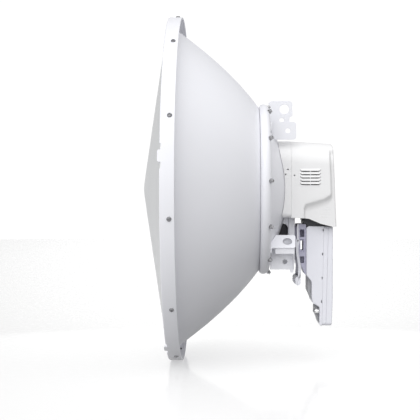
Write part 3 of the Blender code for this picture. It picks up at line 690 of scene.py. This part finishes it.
def make_upper_ears():
    plate = [(-32, 101, 0), (-25, 96, 3), (-21.8, 91.6, 3), (17.7, 91.6, 5.5), (17.7, 124.6, 5.5)]
    plate += [(-32, 124.6, 0)]
    foot = [(56, 104, 0), (90, 104, 3), (88, 119, 3), (78, 123, 3), (56, 124.6, 0)]
    ear = bent_sheet("upper_left_ear", -1, plate, foot)
    cut(ear, dish_body(DISH_CLEARANCE))
    cut(ear, hole(-1, 1.9, 108, SMALL_HOLE))
    dress(ear, "ear_upper_left", edge=0.4 * MM)
    plate = [(-32, 112, 0), (-9, 112, 3), (-3, 122, 4), (11.7, 122, 3), (11.7, 142.2, 2), (17.6, 146, 3)]
    plate += [(17.6, 175, 7), (-24, 175, 5), (-29.5, 171.5, 3), (-32, 150, 0)]
    foot = [(56, 112, 0), (56, 146, 0), (64, 142, 4), (90, 118, 3), (90, 112, 3)]
    ear = bent_sheet("upper_right_ear", 1, plate, foot)
    cut(ear, dish_body(DISH_CLEARANCE))
    cut(ear, hole(1, 1.4, 158.7, BIG_HOLE))
    cut(ear, hole(1, -3.8, 136.9, SMALL_HOLE))
    dress(ear, "ear_upper_right", edge=0.4 * MM)


def tilted_wing(side):
    """The wing's plate, which leans WING_TILT degrees up from the ear's outward side."""
    half = 16.4  # millimetres, like the outline
    outline = [(-31, -half, 3), (14.5, -half, 4.5), (16.2, half, 4.5), (-24, half, 3), (-30, 4, 3)]
    wing = prism(rounded(outline), -EAR_SHEET / 2, EAR_SHEET / 2)
    return shift(turn(wing, side * WING_TILT), (0, side * WING_CENTRE[1], WING_CENTRE[2]))


def make_lower_ear(name, node, side):
    """A bent bracket: a plate, a wing leaning out from its top, a lip under it and a gusset behind."""
    plate = [(-32, -150, 0), (5.8, -150, 1), (7, -156, 1.5), (12, -156, 1.5), (13.4, -150, 1)]
    plate += [(13.4, -87, 0), (-32, -87, 0)]
    foot = [(56, -106, 0), (90, -106, 3), (92, -117, 3), (66, -135, 3), (56, -137, 0)]
    ear = bent_sheet(name, side, plate, foot)
    join(ear, tilted_wing(side))
    sheet = EAR_SHEET / MM
    lip = rounded([(-22, -119.6, 2), (13.4, -119.6, 1), (13.4, -108.5, 0), (-22, -108.5, 0)])
    join(ear, prism(lip, *sorted((side * (LIP_Y - sheet) * MM, side * LIP_Y * MM))))
    gusset = [(59, -149), (62.5, -149), (LIP_Y, -119.6), (LIP_Y, -108.4), (60.5, -87), (59, -87)]
    join(ear, prism([(side * y * MM, z * MM) for y, z in gusset], 11.1 * MM, 13.4 * MM, "X"))
    centre = Vector((WING_CENTRE[0], side * WING_CENTRE[1], WING_CENTRE[2]))
    tilt = math.radians(WING_TILT)
    through = Vector((0, side * math.cos(tilt), math.sin(tilt))) * 9 * MM
    cut(ear, dish_body(DISH_CLEARANCE))
    cut(ear, bar(centre - through, centre + through, WING_HOLE))
    cut(ear, hole(side, -3.3, -135.5, SMALL_HOLE))
    dress(ear, node, edge=0.4 * MM)


# ---- housing and rain cover


def arch(half, top, bottom, foot):
    """The housing's section in (y, z) and millimetres: straight sides under a broad rounded top."""
    corner = ARCH_CORNER / MM
    corners = [(-half, bottom, foot), (half, bottom, foot), (half, top, corner), (-half, top, corner)]
    return rounded(corners, steps=16)


def dense(outline, step):
    """A closed outline with a point at least every step."""
    points = []
    for (a, b), (c, d) in zip(outline, outline[1:] + outline[:1]):
        count = max(1, math.ceil(math.hypot(c - a, d - b) / step))
        points += [(a + (c - a) * i / count, b + (d - b) * i / count) for i in range(count)]
    return points


def hollowed(obj, wall):
    """Gives an open surface a wall that grows inwards."""
    modifier = obj.modifiers.new("wall", "SOLIDIFY")
    modifier.thickness = wall
    modifier.offset = -1
    modifier.use_even_offset = True
    return settle(obj)


def outward(obj, middle):
    """Turns an open surface's faces away from a point inside it."""
    bm = bmesh.new()
    bm.from_mesh(obj.data)
    bm.faces.ensure_lookup_table()
    bm.normal_update()
    total = sum((face.calc_center_median() - middle).dot(face.normal) * face.calc_area() for face in bm.faces)
    if total < 0:
        bmesh.ops.reverse_faces(bm, faces=bm.faces)
    bm.to_mesh(obj.data)
    bm.free()


def make_housing():
    low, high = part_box("feed_housing")
    half, top, bottom, rear = high.y / MM, high.z / MM, low.z / MM, high.x
    section = dense(arch(half, top, bottom, HOUSING_FOOT / MM), 2 * MM)
    rings = []
    steps = 14
    for i in range(steps + 1):
        ring = []
        for y, z in section:
            front = dish_x(math.hypot(y, z)) + DISH_GAP
            ring.append((front + (rear - front) * i / steps, y, z))
        rings.append(ring)
    housing = new_object("feed_housing_shell", loft(rings, capped=False))
    outward(housing, Vector((0, 0, (top + bottom) / 2 * MM)))
    hollowed(housing, SHELL)
    reach = 70 * MM
    dot = rod(-2 * MM, 27 * MM, -reach, reach, DOT, 16)
    slit = block((0, -reach, 35.5 * MM), (4 * MM, reach, 37.3 * MM))
    cut(housing, merged(dot, slit))
    dress(housing, "feed_housing", edge=0.25 * MM)


def cover_bottom(x):
    """The height of the rain cover's lower edge."""
    edge = [(8.8, -53.6), (31.4, -54.7), (41.4, -55.9), (61.7, -64.9), (84.7, -70.9), (93.2, -70.1)]
    for (x0, z0), (x1, z1) in zip(edge, edge[1:]):
        if x <= x1 * MM:
            break
    share = min(max((x / MM - x0) / (x1 - x0), 0), 1)
    return (z0 + (z1 - z0) * share) * MM


def distance_to(outline, x, z):
    """The distance in the (x, z) plane from a closed outline, negative inside it."""
    nearest, inside = 1e9, False
    for (x0, z0), (x1, z1) in zip(outline, outline[1:] + outline[:1]):
        dx, dz = x1 - x0, z1 - z0
        share = min(max(((x - x0) * dx + (z - z0) * dz) / max(dx * dx + dz * dz, 1e-12), 0), 1)
        nearest = min(nearest, math.hypot(x - x0 - share * dx, z - z0 - share * dz))
        if (z0 > z) != (z1 > z) and x < x0 + (z - z0) * dx / dz:
            inside = not inside
    return -nearest if inside else nearest


def ridge_outline():
    """The raised flank's edge, its x values scaled up so that the slope is steeper along X."""
    corners = [(-40, -120, 0), (31.9, -120, 0), (31.9, -36.3, 4), (34.9, -29.2, 3), (70.4, -18.6, 5)]
    corners += [(82.3, -11.3, 5), (79.3, 66.8, 8), (74, 140, 0), (-40, 140, 0)]
    return [(x * RIDGE_SQUEEZE, z) for x, z in rounded(corners, 5)]


def flank_recess(outline, x, z):
    """How far the rain cover's side stands back from its raised flank."""
    away = distance_to(outline, x * RIDGE_SQUEEZE, z)
    away = (away + math.hypot(away, 1.8 * MM)) / 2  # so the flank's edge is soft
    depth = 1 - (1 - min(away / RIDGE_SPREAD, 1)) ** 3
    fade = min(max((78 * MM - z) / (16 * MM), 0), 1)
    return depth * fade * fade * (3 - 2 * fade)


def cover_ring(share, outline, low, high):
    """One section of the rain cover from its lower left edge over the top to its lower right edge.

    share runs from 0 at the front to 1 where the rear edges start to curve in.
    """

    def along(z):
        rear = high.x + COVER_LEAN * (z - low.z) - COVER_ROUND
        return low.x + (rear - low.x) * share

    half = high.y
    top = high.z + (COVER_TOP_REAR - high.z) * share
    bottom = cover_bottom(along(0))
    spring = top - ARCH_CORNER
    side = [(half, z) for z in even_steps(bottom, spring, 128)[:-1]]
    crown = arc((half - ARCH_CORNER, spring), ARCH_CORNER, 0, 90, 44)
    right = []
    for y, z in side + crown:
        x = along(z)
        right.append((x, y - (half - COVER_WAIST) * flank_recess(outline, x, z), z))
    flat = [(right[-1][0], y, top) for y in even_steps(half - ARCH_CORNER, ARCH_CORNER - half, 14)[1:-1]]
    left = [(x, -y, z) for x, y, z in reversed(right)]
    return right + flat + left


def curl_in(ring, turn_share):
    """The section moved round the rear edge: inwards and back by part of a quarter turn."""
    angle = turn_share * math.pi / 2
    inward = COVER_ROUND * (1 - math.cos(angle))
    back = COVER_ROUND * math.sin(angle)
    moved = []
    for i, (x, y, z) in enumerate(ring):
        before = ring[max(i - 1, 0)]
        after = ring[min(i + 1, len(ring) - 1)]
        normal = Vector((after[2] - before[2], before[1] - after[1])).normalized()
        if i in (0, len(ring) - 1):
            normal = Vector((1 if y > 0 else -1, 0))
        moved.append((x + back, y - normal.x * inward, z - normal.y * inward))
    return moved


def louvre_height(row):
    return LOUVRE_TOP - row * LOUVRE_PITCH + 0.95 * MM


def louvre_line(low, high, left_end, right_end, z, drop):
    """The louvre's lower edge as (x, z) points: level, and turned up at its outer ends."""
    points = [(low, z + (LOUVRE_END if left_end else 0) - drop)]
    if left_end:
        points.append((low + LOUVRE_END, z - drop))
    if right_end:
        points.append((high - LOUVRE_END, z - drop))
    points.append((high, z + (LOUVRE_END if right_end else 0) - drop))
    return points


def louvre_slots():
    """Cutters for the slots under the louvres' hoods, through both sides."""
    slots = []
    height = 1.6 * MM
    for row in range(LOUVRES):
        z = louvre_height(row)
        for low, high, left_end, right_end in ((*LOUVRE_X[:2], True, False), (*LOUVRE_X[2:], False, True)):
            upper = louvre_line(low, high, left_end, right_end, z, 0)
            lower = louvre_line(low, high, left_end, right_end, z, height)
            slots.append(prism(upper + lower[::-1], -90 * MM, 90 * MM))
    return merged(*slots)


def louvre_hoods(side, face):
    """Hoods that swell out towards their lower edges, from one end of the louvres to the other."""
    hoods = []
    low, high = LOUVRE_X[0] - 0.3 * MM, LOUVRE_X[-1] + 0.3 * MM
    tall, swell, root = 4.2 * MM, 2.3 * MM, 0.6 * MM
    for row in range(LOUVRES):
        base = louvre_height(row)
        rings = []
        for x in even_steps(low, high, 48):
            end = min(x - low, high - x)
            rise = max(LOUVRE_END - end, 0)
            out = swell * min(end / LOUVRE_END, 1) ** 0.6 + 0.05 * MM
            bottom = base + rise
            top = base + max(tall, rise + 0.6 * MM)
            ring = [(x, side * (face - root), bottom), (x, side * (face + out * 0.85), bottom)]
            for share in even_steps(0.08, 1, 6):
                reach = out * (1 - share**1.15)
                ring.append((x, side * (face + reach), bottom + (top - bottom) * share))
            ring.append((x, side * (face - root), top))
            rings.append(ring)
        hoods.append(loft(rings))
    return hoods


def grip_ribs(side, face):
    """Fine level ribs on the lower part of the cover's waist."""
    ribs = []
    tall, proud = 0.9 * MM, 0.45 * MM
    for row in range(5):
        z = -33 * MM - row * 4.7 * MM
        left = (74 - 3.4 * row) * MM
        section = arc((face - 0.1 * MM, z), tall / 2, -90, 90, 6)
        outline = [(side * (face + (y - face) * proud / (tall / 2)), h) for y, h in section]
        ribs.append(prism(outline, left, 82 * MM, "X"))
    return ribs


def make_rain_cover():
    low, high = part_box("rear_cover")
    low.x -= COVER_REACH
    half = high.y
    outline = ridge_outline()
    rings = [cover_ring(share, outline, low, high) for share in even_steps(0, 1, 76)]
    rings += [curl_in(rings[-1], share) for share in even_steps(0, 1, 8)[1:]]
    bm = loft(rings, closed=False, capped=False)
    bm.verts.ensure_lookup_table()
    count = len(rings[0])
    bm.faces.new(bm.verts[-count:])
    cover = new_object("rain_cover", bm)
    outward(cover, Vector((45 * MM, 0, 0)))
    hollowed(cover, SHELL)
    cut(cover, louvre_slots())
    cut(cover, rod(14.4 * MM, 25.1 * MM, -70 * MM, 70 * MM, DOT, 16))
    dress(cover, "rear_cover", sharp=35)
    trim = []
    for side in (-1, 1):
        trim += louvre_hoods(side, half)
        trim += grip_ribs(side, COVER_WAIST)
    hoods = new_object("rain_cover_louvre_hoods", merged(*trim))
    dress(hoods, "rear_cover", sharp=35)


# ---- adapter, arm and mount


def make_adapter():
    """The dark waveguide adapter, with the open boot below it that the radio's plugs reach into; its skirt
    reaches back over the radio's top as a dark sheet, partly the real boot and partly painted shade for the
    shadow under the cover.
    """
    body = rounded([(31, -62, 5), (60, -62, 5), (60, 36, 4), (31, 36, 4)])
    adapter = new_object("waveguide_adapter_body", prism(body, -26 * MM, 26 * MM))
    # the skirt runs back to x 74 and down over the radio's top: its dark sides there are painted shade for
    # the shadow under the cover
    skirt_and_shade_sheet = [(33, -65.4, 1), (38.2, -65.4, 0), (38.2, -69.2, 1), (74, -69.2, 1), (74, -60, 4)]
    skirt_and_shade_sheet += [(60, -44, 6), (33, -44, 9)]
    join(adapter, prism(rounded(skirt_and_shade_sheet), -38 * MM, 38 * MM))
    cut(adapter, across((39.6, 71), 35, (-75, -61)))
    dress(adapter, "waveguide_adapter", edge=0.8 * MM)


def make_arm():
    low, high = (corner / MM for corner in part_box("mount_arm"))
    plan = [(ARM_FRONT, low.y, 4), (high.x, low.y, 1.5), (high.x, high.y, 1.5), (ARM_FRONT, high.y, 4)]
    arm = new_object("mount_arm_column", prism(rounded(plan), low.z * MM, high.z * MM, "Z"))
    side = [(ARM_FRONT - 1, low.z + 8, 0), (ARM_FRONT + 7, low.z - 1, 0), (ARM_FRONT - 1, low.z - 1, 0)]
    cut(arm, prism(rounded(side), -40 * MM, 40 * MM))
    neck = [(-26, -53.9, 0), (10, -53.9, 0), (10, -85, 0), (4.1, -85, 0), (4.1, -65.2, 9), (-26, -65.2, 0)]
    join(arm, prism(rounded(neck), -30 * MM, 30 * MM))
    cut(arm, dish_body(0.5 * MM))
    dress(arm, "mount_arm", edge=0.8 * MM)
    low, high = (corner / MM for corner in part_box("arm_gasket"))
    outline = rounded([(-25, -95, 0), (high.x, -95, 0), (high.x, -65.5, 9), (-25, -65.5, 0)])
    gasket = new_object("arm_gasket_pad", prism(outline, low.y * MM, high.y * MM))
    cut(gasket, dish_body(0.5 * MM))
    dress(gasket, "arm_gasket", edge=0.8 * MM)


def dovetail(clearance):
    """The rail's section as (x, y) points, narrow at the radio and wide at its back."""
    neck, wide, depth = 9 * MM + clearance, 12 * MM + clearance, 4 * MM + clearance
    radio_front = 37.8 * MM
    root, back = radio_front + MM, radio_front - depth
    return [(root, -neck), (back, -wide), (back, wide), (root, neck)]


def mount_cutter(rear, half):
    """A block over the mount's whole height, from in front of it back to this x."""
    return block((10 * MM, -half, -170 * MM), (rear, half, -60 * MM))


def pin_hole():
    return rod(*PIVOT, -60 * MM, 60 * MM, PIN_HOLE, 24)


def make_mount():
    """Two pale cheeks in front, and the darker body that holds the radio's rail behind them."""
    low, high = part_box("radio_mount")
    half = high.y
    outline = rounded([(20.7, -66, 3), (37.5, -66, 1), (37.5, -164, 0.6), (20.7, -126, 8)])
    cheeks = new_object("quick_release_cheeks", prism(outline, -half, half))
    keep(cheeks, mount_cutter(CHEEK_REAR, half + MM))
    cut(cheeks, mount_cutter(CHEEK_REAR + MM, 25.2 * MM))
    cut(cheeks, pin_hole())
    dress(cheeks, "radio_mount", edge=0.3 * MM, look="powder_white")
    mount = new_object("quick_release_mount", prism(outline, -half, half))
    cut(mount, mount_cutter(CHEEK_REAR + 0.1 * MM, half + MM))
    join(mount, block((low.x, -25 * MM, -120 * MM), (30 * MM, 25 * MM, -70 * MM)))
    pockets = [(26, -90.5, 34.5, -76, 22), (25.4, -119, 34, -94.5, 3), (26, -139.5, 34, -127, 14)]
    for side in (-1, 1):
        for x0, z0, x1, z1, depth in pockets:
            span = sorted((side * 45 * MM, side * (half - depth * MM)))
            cut(mount, prism(window(x0, z0, x1, z1, 1.5), *span))
    cut(mount, prism(window(27, -115.5, 32.6, -97, 1.2), -60 * MM, 5 * MM))
    cut(mount, prism(window(25, -119, 36.4, -93, 1.5), 2 * MM, 60 * MM))
    cut(mount, prism(dovetail(0.4 * MM), -170 * MM, -89 * MM, "Z"))
    cut(mount, pin_hole())
    dress(mount, "radio_mount", edge=0.5 * MM)


def make_lever():
    """Two side arms joined by a ribbed finger bar, on its pin."""
    x, z = PIVOT[0] / MM, PIVOT[1] / MM
    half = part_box("release_lever")[1].y
    inner = half - 3.3 * MM
    arm = [(x + 3.4, z + 3.4, 3.2), (x + 3.2, -101, 3), (22.8, -108, 4), (23, -118, 8), (25.6, -132, 8)]
    arm += [(28.2, -148, 6), (27.2, -166, 0), (21.8, -166, 0), (23.2, -149, 6), (20.8, -133, 8)]
    arm += [(18.4, -119, 8), (17.8, -106, 6), (x - 3.4, z + 3.4, 3.2)]
    finger = [(17.4, -168, 2), (20, -165, 2), (27.2, -165, 2), (27.2, -181.5, 5), (17.6, -181.5, 5)]
    lever = new_object("release_lever_frame", prism(rounded(finger), -half, half))
    for side in (-1, 1):
        join(lever, prism(rounded(arm), *sorted((side * inner, side * half))))
    ribs = []
    for height in (-170.2, -174, -177.6):
        ribs.append(rod(17.6 * MM, height * MM, 4 * MM - half, half - 4 * MM, 1.5 * MM, 20))
    join(lever, merged(*ribs))
    cut(lever, pin_hole())
    dress(lever, "release_lever", edge=0.6 * MM)
    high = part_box("release_pin")[1]
    domed = arc((high.y - 0.6 * MM, 0.9 * MM), 0.6 * MM, 90, 0, 4)
    profile = [(-high.y, 0), (-high.y, 0.9 * MM), (0.6 * MM - high.y, 1.5 * MM), *domed, (high.y, 0)]
    pin = shift(turn(lathe(profile, 32), 90, "Z"), (PIVOT[0], 0, PIVOT[1]))
    dress(new_object("release_pin_domed", pin), "release_pin")


# ---- radio


def radio_slab(low, high, half, corner=6):
    """A plate across the radio with rounded corners, between two x values, all in millimetres."""
    corners = [(-half, RADIO_LOW), (half, RADIO_LOW), (half, RADIO_HIGH), (-half, RADIO_HIGH)]
    return prism(rounded([(y, z, corner) for y, z in corners]), low * MM, high * MM, "X")


def radio_layer(front, rear):
    """A slice of the radio between two parting lines, each given as its x at the top and at the bottom."""
    top, bottom = RADIO_HIGH + 2, RADIO_LOW - 2
    outline = [(front[0], top), (rear[0], top), (rear[1], bottom), (front[1], bottom)]
    return prism([(x * MM, z * MM) for x, z in outline], -50 * MM, 50 * MM)


def port_opening():
    """The way in for the network lead, through the radio's lower end."""
    return across((66, 77), 6.5, (-258, -252))


def make_front_shell():
    """The radio's stepped front half, and the boss on its step, darkened with painted shade."""
    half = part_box("radio_front_shell")[1].y
    side = [(37.8, RADIO_HIGH, 6), (80, RADIO_HIGH, 0), (80, RADIO_LOW, 0), (62.6, RADIO_LOW, 3)]
    side += [(62.6, -222.5, 0), (55.4, -217.9, 4), (49.6, -214.1, 5), (47.9, -203.2, 3), (47.9, -174.6, 6)]
    side += [(37.8, -161.8, 8)]
    shell = new_object("radio_front_half", prism(rounded(side), -half, half))
    soften(shell, RADIO_EDGE, 4)
    settle(shell)
    keep(shell, radio_layer((30, 30), FIRST_SEAM))
    inner = [(40.8, -72.6, 3), (75, -72.6, 0), (75, -254, 0), (65.6, -254, 0), (65.6, -220, 0)]
    inner += [(52.5, -211, 0), (50.9, -203, 0), (50.9, -173, 0), (40.8, -160, 0)]
    cut(shell, prism(rounded(inner), SHELL - half, half - SHELL))
    join(shell, prism(dovetail(0), -158 * MM, -90 * MM, "Z"))
    cut(shell, port_opening())
    cut(shell, across((60, 67), 10, (-241, -229)))
    clips = []
    for z in CLIPS:
        seam = FIRST_SEAM[0] + (FIRST_SEAM[1] - FIRST_SEAM[0]) * (RADIO_HIGH - z) / (RADIO_HIGH - RADIO_LOW)
        for edge in (-1, 1):
            left, right = sorted((edge * (half - SHELL - 0.2 * MM), edge * (half + MM)))
            near = ((seam - 2.2) * MM, left, (z - 2.5) * MM)
            far = ((seam - 0.5) * MM, right, (z + 2.5) * MM)
            clips.append(block(near, far))
    cut(shell, merged(*clips))
    dress(shell, "radio_front_shell", sharp=30, flat=True)
    outline = rounded([(41.4, -164, 0), (41.4, -193, 4), (50, -212, 0), (55, -212, 0), (55, -164, 0)])
    boss = new_object("radio_front_boss", prism(outline, -30 * MM, 30 * MM))
    cut(boss, shift(prism(rounded(side), -half, half), (-0.1 * MM, 0, 0)))
    # the boss gets the radio plastic darkened with painted shade
    dress(boss, "radio_front_shell", edge=0.5 * MM, look="radio_painted_shade")


def make_radio_rear():
    """Behind the front half: the seal, the middle frame and the rear half."""
    low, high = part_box("radio_seal")
    outer = high.y / MM - 3.3
    seal = new_object("radio_seal_bead", radio_slab(low.x / MM, high.x / MM, outer, 3))
    wide, lowest, highest = outer - 1.2, RADIO_LOW + 4.5, RADIO_HIGH - 4.5
    cut(seal, across((60, 80), wide, (lowest, highest)))
    cut(seal, across((60, 80), 50, (-270, RADIO_LOW + 3.2)))
    cut(seal, across((60, 80), 50, (RADIO_HIGH - 3.2, -60)))
    cut(seal, port_opening())
    dress(seal, "radio_seal")
    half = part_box("radio_frame")[1].y / MM
    frame_ring = new_object("radio_middle_frame", radio_slab(50, 95, half))
    keep(frame_ring, radio_layer([x + SEAM for x in FIRST_SEAM], SECOND_SEAM))
    cut(frame_ring, across((50, 95), half - 3.5, (-253.5, -73.1)))
    cut(frame_ring, port_opening())
    dress(frame_ring, "radio_frame", sharp=30, flat=True)
    low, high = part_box("radio_rear_shell")
    half, rear = high.y / MM, high.x / MM
    shell = new_object("radio_rear_half", radio_slab(60, rear, half))
    taper = [(rear + 3, -262, 0), (rear - 2.2, -262, 0), (rear, -205, 0), (rear + 3, -205, 0)]
    cut(shell, prism(rounded(taper), -50 * MM, 50 * MM))
    soften(shell, 2.6 * MM, 4)
    settle(shell)
    keep(shell, radio_layer([x + SEAM for x in SECOND_SEAM], (99, 99)))
    hollow = block((60 * MM, (3 - half) * MM, -254 * MM), (high.x - 5 * MM, (half - 3) * MM, -72.6 * MM))
    cut(shell, hollow)
    dress(shell, "radio_rear_shell", sharp=30, flat=True)


def make_radio_trim():
    """The port cover, darkened with painted shade, and the earth screw in its bright stud."""
    low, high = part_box("port_cover")
    rear = high.x / MM
    wedge = rounded([(rear, -223.3, 0), (55.4, -219.2, 3), (55.4, -234.5, 6), (rear, -253.5, 0)])
    cover = new_object("service_port_cover", prism(wedge, low.y, high.y))
    # the port cover gets the radio plastic darkened with painted shade
    dress(cover, "port_cover", edge=0.9 * MM, look="radio_painted_shade")
    low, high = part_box("ground_stud")
    centre = Vector((0, (low.y + high.y) / 2, (low.z + high.z) / 2))
    radius = (high.z - low.z) / 2
    stud = lathe([(low.x, 0), (low.x, radius), (high.x, radius), (high.x, 0)], 6)
    dress(new_object("earth_stud_hex", shift(stud, centre)), "ground_stud", edge=0.4 * MM)
    low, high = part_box("ground_screw")
    radius = (high.z - low.z) / 2
    profile = [(low.x, 0), (low.x + 0.3 * MM, radius * 0.55), (low.x + 1.6 * MM, radius * 0.75)]
    profile += [(low.x + 1.9 * MM, radius), (high.x, radius), (high.x, 0)]
    screw = new_object("earth_screw_head", shift(lathe(profile, 32), centre))
    y, z, half, reach = centre.y, centre.z, 0.5 * MM, 9 * MM
    cut(screw, block((low.x - MM, y - half, z - reach), (low.x + MM, y + half, z + reach)))
    dress(screw, "ground_screw", sharp=30)


# ---- stage


CAMERA_PLACE = (-99.05 * MM, -1921 * MM, -19.9 * MM)
CAMERA_AIM = (-144.2 * MM, 0, -39.9 * MM)
CAMERA_LENS, CAMERA_SENSOR = 85.6, 36  # millimetres, as cameras state them


def make_camera():
    data = bpy.data.cameras.new("camera")
    data.sensor_width = CAMERA_SENSOR
    data.lens = CAMERA_LENS
    camera = bpy.data.objects.new("camera", data)
    camera.location = CAMERA_PLACE
    camera.rotation_mode = "QUATERNION"
    camera.rotation_quaternion = (Vector(CAMERA_AIM) - camera.location).to_track_quat("-Z", "Y")
    bpy.context.scene.collection.objects.link(camera)
    bpy.context.scene.camera = camera


AMBIENT = 0.12  # the light's even part
# Each soft light: the direction it comes from, its strength, and the power of the cosine it fades with.
LIGHTS = (
    ((0, -1, 1), 1.46, 3),
    ((1, 0, 1), 1.0, 3),
    ((-1, -1, 1), 0.45, 3),
    ((-1, -2, 1), 0.8, 3),
    ((-1, -0.6, -1), 0.8, 3),
    ((0, 1, 0), 0.85, 12),
)
FLOOR_LIFT = 0.34  # keeps the open floor white; the shadows stay
BACKDROP = 1.05  # what the camera sees past the floor


def make_world():
    """Soft lights all round; the camera itself sees plain white."""
    world = bpy.data.worlds.new("studio")
    bpy.context.scene.world = world
    world.use_nodes = True
    tree = world.node_tree
    shader = tree.nodes["Background"]
    shader.inputs["Color"].default_value = (1, 1, 1, 1)
    place = add_node(tree, "TexCoord").outputs["Generated"]

    def math_node(operation, first, second, kind="Math"):
        node = add_node(tree, kind)
        node.operation = operation
        feed(tree, node.inputs[0], first)
        feed(tree, node.inputs[1], second)
        return node.outputs["Value"]

    total = AMBIENT
    for direction, strength, fall in LIGHTS:
        facing = math_node("DOT_PRODUCT", place, Vector(direction).normalized(), "VectorMath")
        lobe = math_node("POWER", math_node("MAXIMUM", facing, 0), fall)
        total = math_node("ADD", total, math_node("MULTIPLY", lobe, strength))
    seen = add_node(tree, "LightPath").outputs["Is Camera Ray"]
    shown = add_node(tree, "Mix", Factor=seen, A=total, B=BACKDROP)
    feed(tree, shader.inputs["Strength"], shown.outputs["Result"])


def make_stage():
    make_camera()
    make_world()
    radius, thick = 6, 20 * MM
    floor = new_object("floor", lathe([(0, 0), (0, radius), (-thick, radius), (-thick, 0)], 96))
    floor.rotation_euler = (0, math.radians(-90), 0)
    floor.location = (0, 0, cad_box[0].z - 0.3 * MM)
    paper = finish("floor_paper", (0.62, 0.62, 0.62), 0.12, drift=0.002, peel=(30, 0.001), grain=(400, 0.001))
    shader = paper.node_tree.nodes["Principled BSDF"]
    shader.inputs["Emission Color"].default_value = (1, 1, 1, 1)
    shader.inputs["Emission Strength"].default_value = FLOOR_LIFT
    shader.inputs["Specular IOR Level"].default_value = 0.3
    floor.data.materials.append(paper)
    floor.visible_diffuse = False
    bpy.context.scene.view_settings.view_transform = "Standard"


# ---- the whole


def dress_cad_nodes():
    """The CAD nodes that stay get their slots' finishes."""
    for name, node in frame["nodes"].items():
        node.data.materials.clear()
        node.data.materials.append(FINISHES[SLOT_OF[name]])


def main():
    make_stage()
    dress_cad_nodes()
    make_reflector()
    make_radome()
    make_rim_band()
    make_rear_ring()
    make_fasteners()
    make_upper_ears()
    make_lower_ear("lower_left_ear", "ear_lower_left", -1)
    make_lower_ear("lower_right_ear", "ear_lower_right", 1)
    make_housing()
    make_rain_cover()
    make_adapter()
    make_arm()
    make_mount()
    make_lever()
    make_front_shell()
    make_radio_rear()
    make_radio_trim()


main()
bpy.context.view_layer.update()
